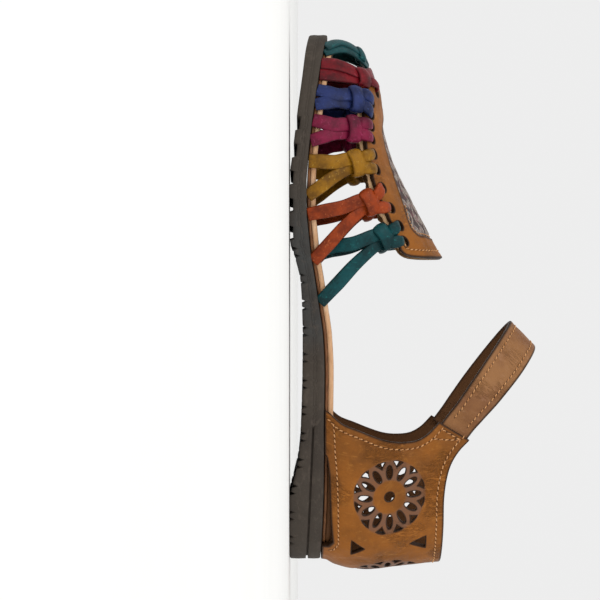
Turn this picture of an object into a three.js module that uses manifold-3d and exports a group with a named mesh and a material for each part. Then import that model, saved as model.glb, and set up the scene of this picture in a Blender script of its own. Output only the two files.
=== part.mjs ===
// A woman's huarache sandal for the right foot, size 38, standing empty on its sole.
// Millimetres. The toe points along +X, the inner side of the foot along +Y and up along +Z.
// Until the last lines X runs from 0 at the back of the sole and Y from the middle of the heel.
import * as THREE from 'three';
import { mergeVertices } from 'three/addons/utils/BufferGeometryUtils.js';
import Module from 'manifold-3d';

const wasm = await Module();
wasm.setup();

// ---- Driving sizes ----
const SOLE_LENGTH = 249;
const HEEL_ROUND = 31;      // length of the round back end of the sole
const TOE_ROUND = 54;       // length over which the sole closes at the toe
const GAP = 0.3;            // between pieces that meet
const RIM = 2.6;            // ledge of the sole outside the last, where thongs and counter stand
const INSOLE = 4;
const THONG = 2;            // thickness of the thongs
const THONG_WIDE = 6.2;
const KNOT = 3;             // the band of a knot, with the strands in it
const KNOT_WIDE = 7;
const LOOP = 1.8;           // the loops from a knot into the panel
const LOOP_WIDE = 4.6;
const PANEL = 2.2;          // vamp panel, leather and lining
const COUNTER = 2.4;        // heel counter, two layers
const STRAP = 2.4;          // ankle strap, two layers

const LUG_FIRST = 213.8;    // front edge of the foremost lug
const LUG_PITCH = 12.6;
const LUG_LONG = 6.3;
const LUG_DEEP = 1.2;
const LUGS = 17;

const GROOVE_FRONT = 65;    // where the groove round the heel starts
const GROOVE_HIGH = 1.3;
const GROOVE_DEEP = 1.6;

// The sole from heel to toe: its middle line and half width before the ends are rounded,
// the height of its tread and of its top edge above the ground.
const SOLE = [
  { x: 0, middle: 0, half: 31, tread: 0, top: 14.6 },
  { x: 30, middle: 0, half: 31, tread: 0, top: 15.8 },
  { x: 39, middle: 0, half: 30.8, tread: 2, top: 16 },
  { x: 50, middle: -0.3, half: 30.6, tread: 4.4, top: 16.1 },
  { x: 62, middle: -0.8, half: 30.3, tread: 5.4, top: 16.1 },
  { x: 90, middle: -2.6, half: 30.6, tread: 6.2, top: 16.4 },
  { x: 106, middle: -3.2, half: 32, tread: 6.3, top: 15.7 },
  { x: 120, middle: -3.4, half: 33.8, tread: 6, top: 13.8 },
  { x: 132, middle: -3.2, half: 35.8, tread: 5.3, top: 12 },
  { x: 144, middle: -2.6, half: 38.2, tread: 2.6, top: 10 },
  { x: 153, middle: -1.8, half: 40, tread: 0, top: 9 },
  { x: 165, middle: -0.6, half: 42, tread: 0, top: 8 },
  { x: 177, middle: 0.8, half: 43, tread: 0, top: 8 },
  { x: 189, middle: 2, half: 42.6, tread: 1.4, top: 8.7 },
  { x: 201, middle: 3, half: 41, tread: 2.8, top: 10 },
  { x: 209, middle: 3.6, half: 39.6, tread: 3.7, top: 11 },
  { x: 227, middle: 5, half: 35.4, tread: 6, top: 13.6 },
  { x: 242, middle: 6, half: 32, tread: 7.8, top: 16.2 },
  { x: 249, middle: 6.4, half: 30, tread: 9.2, top: 18 },
];

// The last over the forefoot: the height of its crest, the sideways place of the crest,
// and how peaked its section is (1 is an ellipse).
const LAST = [
  { x: 118, crest: 87, ridge: 4, peak: 1.2 },
  { x: 142, crest: 71.4, ridge: 4, peak: 1.2 },
  { x: 153, crest: 64.9, ridge: 4, peak: 1.2 },
  { x: 171, crest: 55.3, ridge: 4.5, peak: 1.15 },
  { x: 189, crest: 47.7, ridge: 5, peak: 1.1 },
  { x: 205, crest: 43.1, ridge: 5.5, peak: 1.05 },
  { x: 220, crest: 41.2, ridge: 6, peak: 1 },
  { x: 228, crest: 39.6, ridge: 6, peak: 1 },
  { x: 236, crest: 36.4, ridge: 6, peak: 1 },
  { x: 241, crest: 33.4, ridge: 6, peak: 1 },
  { x: 244, crest: 30.4, ridge: 6, peak: 1 },
  { x: 245.8, crest: 26, ridge: 6, peak: 1 },
  { x: 246.4, crest: 21, ridge: 6, peak: 1 },
];
const LAST_TIP = 246.4;

// The vamp panel in side view: its lower edge from the front end to the throat.
const PANEL_EDGE = [
  { x: 226.4, z: 48 },
  { x: 226, z: 41.5 },
  { x: 224, z: 38.2 },
  { x: 219, z: 36.2 },
  { x: 210, z: 35.2 },
  { x: 198, z: 35.3 },
  { x: 188, z: 36.6 },
  { x: 176, z: 39.8 },
  { x: 165, z: 44.4 },
  { x: 156, z: 48.8 },
  { x: 149.6, z: 51 },
  { x: 146.6, z: 51.8 },
  { x: 144.2, z: 54.6 },
  { x: 143, z: 60 },
  { x: 142.3, z: 80 },
];

// The laced thongs of each side, front to back: where their two strands leave the sole,
// where their knot sits, and the two holes in the panel that they are looped through. A tucked
// thong's front strand ends inside, on the insole.
const THONGS = [
  {
    name: 'blue', colour: '#31406f', tucked: false,
    front: 219.5, back: 212.6, knot: 215.6, z: 29.6, holes: [215, 209.2],
  },
  {
    name: 'magenta', colour: '#a02554', tucked: false,
    front: 205.4, back: 196, knot: 201.8, z: 28.4, holes: [203.6, 197.6],
  },
  {
    name: 'yellow', colour: '#b07f1c', tucked: false,
    front: 186.8, back: 171.2, knot: 186.2, z: 29.8, holes: [190.6, 183.4],
  },
  {
    name: 'orange', colour: '#bb5423', tucked: false,
    front: 162.8, back: 141.6, knot: 168.4, z: 36, holes: [175, 165.8],
  },
  {
    name: 'teal', colour: '#0f5d57', tucked: true,
    front: 145.4, back: 122.4, knot: 152.6, z: 43, holes: [157.6, 150.4],
  },
];
const FOOT_OFF = 0.4;       // how far a strand's foot stands off the last
const FOOT_SUNK = 2;        // extra length at a strand's foot, trimmed off along the sole
const TUCK_LIFT = 2;        // a tucked strand's end above the insole's edge
const HOLE_WIDE = 4.2;
const HOLE_IN = 3;          // from the panel's edge to the middle of a hole
const HOLE_SIDES = 6;
const RED_FRONT = 232;      // where the two red strands leave the sole
const RED_BACK = 227.6;

// The heel counter's wall by height: how far its back stands behind the sole, and its width as a
// share of the width at the sole.
const HEEL_WALL = [
  { z: 13, back: 0, share: 1 },
  { z: 17, back: -0.4, share: 1 },
  { z: 21, back: -2.2, share: 1.01 },
  { z: 29, back: -4.4, share: 1.03 },
  { z: 38, back: -5.2, share: 1.02 },
  { z: 50, back: -3.8, share: 0.98 },
  { z: 70, back: -1.6, share: 0.9 },
  { z: 92, back: 2.4, share: 0.86 },
];
const HEEL_TURN = 28.6;     // length of the wall's round back
const HEEL_ARC = 44.6;      // length of leather round a quarter of it

// The counter in side view, from the sole at its front round the lug to the back.
const COUNTER_FRONT = [
  { x: 72.4, z: 10 },
  { x: 71.2, z: 17.6 },
  { x: 66, z: 24.6 },
  { x: 63, z: 32 },
  { x: 60.2, z: 39 },
  { x: 58, z: 46 },
  { x: 57.4, z: 52 },
  { x: 58.2, z: 59 },
  { x: 61, z: 64.2 },
  { x: 66.6, z: 69.8 },
];
const COUNTER_TOP = [
  { x: 58.2, z: 84 },
  { x: 53, z: 79 },
  { x: 47.2, z: 75.4 },
  { x: 41, z: 73.4 },
  { x: 31.5, z: 72 },
  { x: 18, z: 71.8 },
  { x: -12, z: 71.4 },
];
// The slot that is left open between counter and sole on both sides.
const SLOT = [
  { x: 51, z: 16.6 },
  { x: 44, z: 18.3 },
  { x: 30, z: 18.9 },
  { x: 18, z: 19.6 },
  { x: 11.5, z: 20.4 },
  { x: 10, z: 17 },
  { x: 10, z: 10 },
  { x: 51, z: 10 },
];

// The ankle strap's middle line on the flat of its own sloping plane, from the middle of the seam
// on the inner side to the front of the ankle: along the slope and sideways.
const STRAP_START = { x: 62.6, z: 77.2 };
const STRAP_FRONT = { x: 107, z: 110.6 };
const STRAP_ROUTE = [
  { along: -0.045, side: 1 },
  { along: 0.06, side: 1 },
  { along: 0.3, side: 0.99 },
  { along: 0.56, side: 0.87 },
  { along: 0.78, side: 0.65 },
  { along: 0.94, side: 0.35 },
  { along: 1, side: 0 },
];
// How far its lower and upper edges lie from that line.
const STRAP_EDGES = [
  { along: 0, low: 7, high: 7 },
  { along: 0.16, low: 7, high: 7 },
  { along: 0.5, low: 7.7, high: 8.6 },
  { along: 0.8, low: 8.1, high: 9.6 },
  { along: 0.92, low: 8.2, high: 9.4 },
  { along: 1, low: 8.2, high: 8.8 },
];
const STRAP_HALF = 26;      // from the middle to the strap where it leaves the counter
const STRAP_LEAN = 0.16;    // how far the strap leans back at the front of the ankle

// ---- Shape helpers ----
const clamp = THREE.MathUtils.clamp;
const spot = (x, y, z) => new THREE.Vector3(x, y, z);

// A table's column at any place on its key, on a smooth curve that never overshoots its rows.
function read(rows, key, column, at) {
  const up = rows[rows.length - 1][key] > rows[0][key];
  const list = up ? rows : [...rows].reverse();
  const place = clamp(at, list[0][key], list[list.length - 1][key]);
  let i = 0;
  while (i < list.length - 2 && place > list[i + 1][key]) {
    i += 1;
  }
  const run = (k) => list[k + 1][key] - list[k][key];
  const slope = (k) => (list[k + 1][column] - list[k][column]) / run(k);
  const lean = (k) => {
    if (k === 0 || k === list.length - 1) {
      return slope(Math.min(k, list.length - 2));
    }
    const before = slope(k - 1);
    const after = slope(k);
    return before * after <= 0 ? 0 : (2 * before * after) / (before + after);
  };
  const t = (place - list[i][key]) / run(i);
  const from = list[i][column];
  const to = list[i + 1][column];
  const bend = (1 - t) * lean(i) - t * lean(i + 1);
  const straight = slope(i) * (1 - 2 * t);
  return from + (to - from) * t + t * (1 - t) * run(i) * (bend - straight);
}

// One closed geometry from points and faces, turned so that its faces point out.
function closedGeometry(points, faces) {
  let volume = 0;
  for (const [a, b, c] of faces) {
    volume += points[a].dot(points[b].clone().cross(points[c]));
  }
  const index = faces.flatMap(([a, b, c]) => (volume < 0 ? [a, c, b] : [a, b, c]));
  const geometry = new THREE.BufferGeometry();
  geometry.setAttribute('position', new THREE.Float32BufferAttribute(points.flatMap((p) => p.toArray()), 3));
  geometry.setIndex(index);
  return mergeVertices(geometry, 1e-4);
}

// A solid through rings of points, closed by a flat face at each end.
function loft(rings) {
  const size = rings[0].length;
  const faces = [];
  for (let r = 0; r < rings.length - 1; r += 1) {
    for (let k = 0; k < size; k += 1) {
      const a = r * size + k;
      const b = r * size + ((k + 1) % size);
      faces.push([a, b, b + size], [a, b + size, a + size]);
    }
  }
  const last = (rings.length - 1) * size;
  for (let k = 1; k < size - 1; k += 1) {
    faces.push([0, k + 1, k], [last, last + k, last + k + 1]);
  }
  return closedGeometry(rings.flat(), faces);
}

// A wall with an inner and an outer face; place(u, v, skin) gives its points, skin 0 inside and 1 outside.
function wall(columns, rows, place) {
  const points = [];
  for (const skin of [0, 1]) {
    for (let i = 0; i <= columns; i += 1) {
      for (let j = 0; j <= rows; j += 1) {
        points.push(place(i / columns, j / rows, skin));
      }
    }
  }
  const id = (i, j, skin) => (skin * (columns + 1) + i) * (rows + 1) + j;
  const faces = [];
  const quad = (a, b, c, d) => faces.push([a, b, c], [a, c, d]);
  for (let i = 0; i < columns; i += 1) {
    for (let j = 0; j < rows; j += 1) {
      quad(id(i, j, 1), id(i + 1, j, 1), id(i + 1, j + 1, 1), id(i, j + 1, 1));
      quad(id(i, j, 0), id(i, j + 1, 0), id(i + 1, j + 1, 0), id(i + 1, j, 0));
    }
    quad(id(i, 0, 0), id(i + 1, 0, 0), id(i + 1, 0, 1), id(i, 0, 1));
    quad(id(i, rows, 0), id(i, rows, 1), id(i + 1, rows, 1), id(i + 1, rows, 0));
  }
  for (let j = 0; j < rows; j += 1) {
    quad(id(0, j, 0), id(0, j, 1), id(0, j + 1, 1), id(0, j + 1, 0));
    quad(id(columns, j, 0), id(columns, j + 1, 0), id(columns, j + 1, 1), id(columns, j, 1));
  }
  return closedGeometry(points, faces);
}

// A side-view outline carried right across the shoe, to cut walls with.
function acrossShoe(rows) {
  const shape = new THREE.Shape(rows.map((row) => new THREE.Vector2(row.x, row.z)));
  const geometry = new THREE.ExtrudeGeometry(shape, { depth: 160, bevelEnabled: false });
  geometry.rotateX(Math.PI / 2);
  geometry.translate(0, 80, 0);
  return geometry;
}

function toSolid(geometry) {
  const plain = geometry.clone();
  plain.deleteAttribute('normal');
  plain.deleteAttribute('uv');
  const merged = mergeVertices(plain, 1e-4);
  const vertProperties = new Float32Array(merged.attributes.position.array);
  const triVerts = new Uint32Array(merged.index.array);
  return new wasm.Manifold(new wasm.Mesh({ numProp: 3, vertProperties, triVerts }));
}

function toGeometry(solid) {
  const mesh = solid.getMesh();
  const geometry = new THREE.BufferGeometry();
  geometry.setAttribute('position', new THREE.Float32BufferAttribute(mesh.vertProperties, 3));
  geometry.setIndex(new THREE.Uint32BufferAttribute(mesh.triVerts, 1));
  return geometry;
}

// ---- Sole ----
// Half the width of the sole's plan at x, or of the same plan drawn inset all round.
function planHalf(x, inset) {
  const heel = clamp((HEEL_ROUND - x) / (HEEL_ROUND - inset), 0, 1);
  const toe = clamp((x - SOLE_LENGTH + TOE_ROUND) / (TOE_ROUND - inset), 0, 1);
  return (read(SOLE, 'x', 'half', x) - inset) * Math.sqrt(1 - heel ** 2) * (1 - toe ** 2.6) ** 0.45;
}
const soleMiddle = (x) => read(SOLE, 'x', 'middle', x);
const soleTop = (x) => read(SOLE, 'x', 'top', x);
const soleTread = (x) => read(SOLE, 'x', 'tread', x);

// Places along the plan drawn inset all round, close together at its round ends.
function stationsAlong(inset) {
  const turns = 9;
  const list = SOLE.map((row) => row.x).filter((x) => x > HEEL_ROUND && x < SOLE_LENGTH - TOE_ROUND);
  for (let k = 0; k <= turns; k += 1) {
    const close = Math.cos((k / turns) * (Math.PI / 2));
    list.push(HEEL_ROUND - (HEEL_ROUND - inset) * close);
    list.push(SOLE_LENGTH - TOE_ROUND + (TOE_ROUND - inset) * close);
  }
  return list.sort((a, b) => a - b);
}

// A level slice of the sole's plan: its edges are cut back by inset and its corners by bevels.
function slice(x, low, high, inset, bevelLow, bevelHigh) {
  const half = Math.max(planHalf(x, inset), 0.9);
  const under = Math.min(bevelLow, half / 2);
  const over = Math.min(bevelHigh, half / 2);
  const corners = [
    [half - under, low],
    [half, low + bevelLow],
    [half, high - bevelHigh],
    [half - over, high],
  ];
  const ring = corners.map(([y, z]) => spot(x, soleMiddle(x) + y, z));
  const mirror = corners.reverse().map(([y, z]) => spot(x, soleMiddle(x) - y, z));
  return [...ring, ...mirror];
}

function outsole() {
  const stations = stationsAlong(0).map((x) => ({ x, deep: null }));
  for (let k = 0; k < LUGS; k += 1) {
    const front = LUG_FIRST - k * LUG_PITCH;
    const step = 0.25;
    stations.push({ x: front + step, deep: 0 }, { x: front, deep: 1 });
    stations.push({ x: front - LUG_LONG, deep: 1 }, { x: front - LUG_LONG - step, deep: 0 });
  }
  const onLug = (x) => {
    const along = (LUG_FIRST - x) / LUG_PITCH;
    const share = (along - Math.floor(along)) * LUG_PITCH;
    return along >= 0 && along < LUGS && share <= LUG_LONG;
  };
  stations.sort((a, b) => a.x - b.x);
  const kept = stations.filter((s, i) => {
    const crowded = stations.some((t, j) => j !== i && t.deep !== null && Math.abs(t.x - s.x) < 1);
    return s.deep !== null || !crowded;
  });
  const rings = kept.map(({ x, deep }) => {
    const lug = deep === null ? Number(onLug(x)) : deep;
    const low = soleTread(x) + LUG_DEEP * (1 - lug);
    return slice(x, low, soleTop(x), 0, 1, 0.6);
  });
  return toGeometry(toSolid(loft(rings)).subtract(toSolid(heelGroove())));
}

// The groove round the heel runs from one side of the waist to the other, falling towards the back.
function heelGroove() {
  const steps = 20;
  const rings = [];
  for (let k = 0; k <= steps; k += 1) {
    const side = 1 - (2 * k) / steps;
    const far = Math.abs(side);
    const turn = Math.min(far / 0.55, 1) * (Math.PI / 2);
    const straight = Math.max(far - 0.55, 0) / 0.45;
    const x = HEEL_ROUND * (1 - Math.cos(turn)) + straight * (GROOVE_FRONT - HEEL_ROUND);
    const half = read(SOLE, 'x', 'half', x);
    const out = spot(-Math.cos(turn), Math.sign(side) * Math.sin(turn), 0);
    const y = soleMiddle(x) + Math.sign(side) * half * Math.sin(turn);
    const edge = spot(x, y, 8.2 + 3 * (x / GROOVE_FRONT));
    const corner = (o, z) => edge.clone().addScaledVector(out, o).add(spot(0, 0, z));
    rings.push([
      corner(-GROOVE_DEEP, -GROOVE_HIGH / 2),
      corner(2, -GROOVE_HIGH / 2),
      corner(2, GROOVE_HIGH / 2),
      corner(-GROOVE_DEEP, GROOVE_HIGH / 2),
    ]);
  }
  return loft(rings);
}

function insole() {
  const inset = RIM + GAP;
  const low = (x) => soleTop(x) + GAP;
  return loft(stationsAlong(inset).map((x) => slice(x, low(x), low(x) + INSOLE, inset, 0.5, 0.8)));
}

// Everything up to the gap above the sole's top, which the pieces standing on it are trimmed to.
function groundOfUpper() {
  const steps = 48;
  const rings = [];
  for (let k = 0; k <= steps; k += 1) {
    const x = ((SOLE_LENGTH + 20) * k) / steps - 10;
    const high = soleTop(clamp(x, 0, SOLE_LENGTH)) + GAP;
    rings.push([spot(x, -60, -5), spot(x, 60, -5), spot(x, 60, high), spot(x, -60, high)]);
  }
  return toSolid(loft(rings));
}
const underUpper = groundOfUpper();

// ---- The last over the forefoot ----
// A point of the last at x and at a turn from 0 at the inner edge of the sole, through 90 degrees
// on the crest, to 180 at the outer edge.
function onLast(x, degrees) {
  const turn = THREE.MathUtils.degToRad(degrees);
  const along = Math.min(x, LAST_TIP);
  const low = soleTop(along) + GAP;
  const high = Math.max(read(LAST, 'x', 'crest', along) - low, 1);
  const peak = read(LAST, 'x', 'peak', along);
  const half = Math.max(planHalf(along, RIM), 0.4);
  const side = Math.sign(Math.cos(turn)) * Math.abs(Math.cos(turn)) ** peak;
  const drift = (read(LAST, 'x', 'ridge', along) - soleMiddle(along)) * Math.sin(turn);
  return spot(along, soleMiddle(along) + drift + half * side, low + high * Math.sin(turn));
}

function lastNormal(x, degrees) {
  const place = Math.min(x, LAST_TIP - 0.3);
  const along = onLast(place + 0.2, degrees).sub(onLast(place - 0.8, degrees));
  const round = onLast(place, degrees + 0.5).sub(onLast(place, degrees - 0.5));
  return round.cross(along).normalize();
}

// A point that stands off the last's surface.
const offLast = (x, degrees, off) => onLast(x, degrees).addScaledVector(lastNormal(x, degrees), off);

// The turn at which the last reaches a height; side is 1 inside and -1 outside.
function turnAt(x, z, side) {
  const low = soleTop(x) + GAP;
  const share = clamp((z - low) / (read(LAST, 'x', 'crest', x) - low), 0, 1);
  const turn = THREE.MathUtils.radToDeg(Math.asin(share));
  return side > 0 ? turn : 180 - turn;
}

// ---- Vamp panel ----
// The height of the panel's lower edge, between its front end and the throat.
const edgeOfPanel = (x) => read(PANEL_EDGE.slice(1, 12), 'x', 'z', x);

function vampPanel() {
  const front = PANEL_EDGE[0].x + 2;
  const back = PANEL_EDGE[PANEL_EDGE.length - 1].x - 4;
  const place = (u, v, skin) => offLast(back + (front - back) * u, 22 + 136 * v, skin * PANEL);
  const body = toSolid(wall(10, 12, place)).intersect(toSolid(acrossShoe(PANEL_EDGE)));
  return toGeometry(laceHoles().reduce((panel, hole) => panel.subtract(hole), body));
}

function laceHoles() {
  const list = [];
  for (const side of [1, -1]) {
    for (const x of THONGS.flatMap((thong) => thong.holes)) {
      const turn = turnAt(x, edgeOfPanel(x) + HOLE_IN, side);
      const bar = new THREE.CylinderGeometry(HOLE_WIDE / 2, HOLE_WIDE / 2, 3 * PANEL, HOLE_SIDES);
      bar.applyQuaternion(new THREE.Quaternion().setFromUnitVectors(spot(0, 1, 0), lastNormal(x, turn)));
      const middle = offLast(x, turn, PANEL / 2);
      bar.translate(middle.x, middle.y, middle.z);
      list.push(toSolid(bar));
    }
  }
  return list;
}

// ---- Thongs ----
// A flat thong laid on the last along a route of { x, turn, off }, off being how far it stands off.
function ribbon(route, wide, thick, steps) {
  const curve = new THREE.CatmullRomCurve3(route.map((p) => spot(p.x, p.turn, p.off)), false, 'centripetal');
  const places = curve.getPoints(steps);
  const middle = places.map((p) => offLast(p.x, p.y, p.z));
  const rings = places.map((p, i) => {
    const along = middle[Math.min(i + 1, steps)].clone().sub(middle[Math.max(i - 1, 0)]).normalize();
    const across = lastNormal(p.x, p.y).cross(along).normalize();
    const out = along.clone().cross(across).normalize();
    const sunk = p.y < 2 || p.y > 178 ? -FOOT_SUNK : 0;
    const base = middle[i].clone().addScaledVector(along, i === 0 ? sunk : -sunk);
    const corner = (w, t) => base.clone().addScaledVector(across, w * wide).addScaledVector(out, t * thick);
    return [
      corner(-0.5, 0),
      corner(0.5, 0),
      corner(0.5, 0.7),
      corner(0.36, 1),
      corner(-0.36, 1),
      corner(-0.5, 0.7),
    ];
  });
  return toSolid(loft(rings)).subtract(underUpper);
}

const join = (solids) => toGeometry(solids.reduce((all, one) => all.add(one)));

// One colour's thong on one side: two strands, the knot round them, and two loops over the panel.
function lacedThong(thong, side) {
  const at = (x, z, off) => ({ x, turn: turnAt(x, z, side), off });
  const foot = (x) => ({ x, turn: side > 0 ? 0.4 : 179.6, off: FOOT_OFF });
  const inside = (x) => at(x, soleTop(x) + INSOLE + TUCK_LIFT, -2 * THONG);
  const strand = (x, lean, tucked) => ribbon([
    tucked ? inside(x) : foot(x),
    at(x + (thong.knot - x) * 0.45, soleTop(x) + (thong.z - soleTop(x)) * 0.5, tucked ? -1.7 : 0.3),
    at(thong.knot + lean, thong.z, 0.5),
  ], THONG_WIDE, THONG, 5);
  const knot = ribbon([
    at(thong.knot - 5.6, thong.z - 1.2, 0.4),
    at(thong.knot, thong.z, 1.2),
    at(thong.knot + 5.6, thong.z + 0.4, 0.4),
  ], KNOT_WIDE, KNOT, 4);
  const over = PANEL + GAP + 0.15;
  const loops = thong.holes.map((x, i) => {
    const hole = edgeOfPanel(x) + HOLE_IN;
    const start = thong.knot + (i === 0 ? 2.6 : -2.6);
    const route = [
      at(start, thong.z + 1, 1.4),
      at((start + x) / 2, (thong.z + hole) / 2 - 0.6, over),
      at(x, hole, over),
    ];
    return ribbon(route, LOOP_WIDE, LOOP, 3);
  });
  return join([strand(thong.front, 1.6, thong.tucked), strand(thong.back, -1.6, false), knot, ...loops]);
}

// The red thongs cross the toe from side to side in front of the panel.
function redToeStrap() {
  const bridge = ribbon([
    { x: 228.6, turn: 46, off: 0.4 },
    { x: 229.6, turn: 66, off: 0.3 },
    { x: 230.4, turn: 90, off: 0.2 },
    { x: 229.6, turn: 114, off: 0.3 },
    { x: 228.6, turn: 134, off: 0.4 },
  ], THONG_WIDE, THONG, 10);
  const parts = [bridge];
  for (const side of [1, -1]) {
    const turn = (degrees) => (side > 0 ? degrees : 180 - degrees);
    const strand = (x, top) => ribbon([
      { x, turn: turn(0.4), off: FOOT_OFF },
      { x: (x + top) / 2, turn: turn(22), off: 0.2 },
      { x: top, turn: turn(52), off: 0.4 },
    ], THONG_WIDE, THONG, 5);
    const knot = ribbon([
      { x: 223.4, turn: turn(49), off: 0.4 },
      { x: 228, turn: turn(49), off: 0.9 },
      { x: 232, turn: turn(52), off: 0.4 },
    ], KNOT_WIDE, KNOT, 4);
    parts.push(strand(RED_FRONT, 228.2), strand(RED_BACK, 226.4), knot);
  }
  return join(parts);
}

// The toe loop rises from the sole on one side of the toe and arches over it to the other.
function toeLoop() {
  const half = [
    { x: 240.2, turn: 1, off: FOOT_OFF },
    { x: 242.4, turn: 20, off: 0.2 },
    { x: 243, turn: 40, off: 0.3 },
    { x: 241.8, turn: 60, off: 0.3 },
    { x: 239.4, turn: 77, off: 0.2 },
  ];
  const mirror = [...half].reverse().map((p) => ({ ...p, turn: 180 - p.turn }));
  return toGeometry(ribbon([...half, { x: 237.8, turn: 90, off: 0.2 }, ...mirror], THONG_WIDE, THONG, 22));
}

// ---- Heel counter ----
// A point of the heel's wall: along is the length of leather from the middle of the back, positive
// towards the inner side; off is how far outside the last it stands.
function onHeel(along, z, off) {
  const far = Math.abs(along);
  const side = Math.sign(along);
  const turn = Math.min(far / HEEL_ARC, 1) * (Math.PI / 2);
  const straight = Math.max(far - HEEL_ARC, 0);
  const back = read(HEEL_WALL, 'z', 'back', z);
  const x = back + COUNTER + HEEL_TURN * (1 - Math.cos(turn)) + straight;
  const half = (read(SOLE, 'x', 'half', x) - RIM) * read(HEEL_WALL, 'z', 'share', z);
  const out = spot(-Math.cos(turn), side * Math.sin(turn), 0);
  return spot(x, soleMiddle(x) + side * half * Math.sin(turn), z).addScaledVector(out, off);
}

const sideOutline = () => [...COUNTER_FRONT, ...COUNTER_TOP, { x: -12, z: 10 }];

function heelCounter() {
  const reach = 92;
  const columns = 34;
  const place = (u, v, skin) => {
    const along = reach * (1 - 2 * u);
    const x = onHeel(along, 16, 0).x;
    const foot = soleTop(clamp(x, 0, SOLE_LENGTH)) + GAP;
    return onHeel(along, foot + (87 - foot) * v, skin * COUNTER);
  };
  const body = toSolid(wall(columns, 6, place)).intersect(toSolid(acrossShoe(sideOutline())));
  return toGeometry(body.subtract(toSolid(acrossShoe(SLOT))));
}

// ---- Ankle strap ----
function ankleStrap() {
  const slope = spot(STRAP_FRONT.x - STRAP_START.x, 0, STRAP_FRONT.z - STRAP_START.z);
  const rise = slope.clone().normalize();
  const up = spot(-rise.z, 0, rise.x);
  const begin = spot(STRAP_START.x, 0, STRAP_START.z);
  const mirror = STRAP_ROUTE.slice(0, -1).reverse().map((p) => ({ along: p.along, side: -p.side }));
  const route = [...STRAP_ROUTE, ...mirror];
  const curve = new THREE.CatmullRomCurve3(route.map((p) => spot(p.along, p.side, 0)), false, 'centripetal');
  const steps = 28;
  const places = curve.getPoints(steps);
  const middle = places.map((p) => (
    begin.clone().addScaledVector(slope, p.x).add(spot(0, p.y * STRAP_HALF, 0))
  ));
  const rings = middle.map((point, i) => {
    const along = middle[Math.min(i + 1, steps)].clone().sub(middle[Math.max(i - 1, 0)]).normalize();
    const lean = STRAP_LEAN * clamp(places[i].x, 0, 1);
    const across = up.clone().addScaledVector(rise, -lean).normalize();
    const out = along.clone().cross(across).normalize();
    const low = -read(STRAP_EDGES, 'along', 'low', places[i].x);
    const high = read(STRAP_EDGES, 'along', 'high', places[i].x);
    const corner = (w, t) => point.clone().addScaledVector(across, w).addScaledVector(out, t * STRAP);
    const cut = 0.8;
    return [
      corner(low, -0.3),
      corner(low + cut, -0.5),
      corner(high - cut, -0.5),
      corner(high, -0.3),
      corner(high, 0.5),
      corner(low, 0.5),
    ];
  });
  return toGeometry(toSolid(loft(rings)).subtract(toSolid(behindSeam())));
}

// All that lies behind the seam on the counter's lug, where the strap starts.
function behindSeam() {
  const low = COUNTER_FRONT[COUNTER_FRONT.length - 1];
  const seam = new THREE.Vector2(COUNTER_TOP[0].x - low.x, COUNTER_TOP[0].z - low.z).normalize();
  const corners = [[-20, GAP], [40, GAP], [40, -40], [-20, -40]];
  return acrossShoe(corners.map(([along, off]) => ({
    x: low.x + along * seam.x + off * seam.y,
    z: low.z + along * seam.y - off * seam.x,
  })));
}

// ---- The sandal ----
const sandal = new THREE.Group();

function piece(name, geometry, color, roughness) {
  const mesh = new THREE.Mesh(geometry, new THREE.MeshStandardMaterial({ color, roughness, metalness: 0 }));
  mesh.name = name;
  sandal.add(mesh);
}

piece('outsole', outsole(), '#5b534f', 0.8);
piece('insole', insole(), '#b98a5e', 0.7);
piece('vamp_panel', vampPanel(), '#a5672a', 0.5);
piece('heel_counter', heelCounter(), '#a5672a', 0.5);
piece('ankle_strap', ankleStrap(), '#9c6128', 0.5);
piece('thong_teal_toe_loop', toeLoop(), '#0f5d57', 0.45);
piece('thong_red_toe_strap', redToeStrap(), '#a01f33', 0.45);
for (const thong of THONGS) {
  piece(`thong_${thong.name}_inner`, lacedThong(thong, 1), thong.colour, 0.45);
  piece(`thong_${thong.name}_outer`, lacedThong(thong, -1), thong.colour, 0.45);
}

// The origin is under the middle of the sandal's own box, on the ground.
const box = new THREE.Box3().setFromObject(sandal);
const centre = box.getCenter(spot(0, 0, 0));
sandal.position.set(-centre.x, -centre.y, -box.min.z);

export default sandal;
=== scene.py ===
# %% [markdown]
# # A huarache sandal, standing empty on its sole
# The sandal is made of a rubber sole, an insole, a heel counter with cut rosettes, an ankle strap, a
# vamp panel with a tooled inlay, and coloured thongs that lace the panel to the sole. Every piece is
# built from the maker's own measures in millimetres, so that it lies exactly where the plain part has
# its own piece, and only the last step turns millimetres into Blender's metres.

import math

import bmesh
import bpy
import numpy as np
from mathutils import Matrix, Vector
from mathutils.geometry import delaunay_2d_cdt


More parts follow.
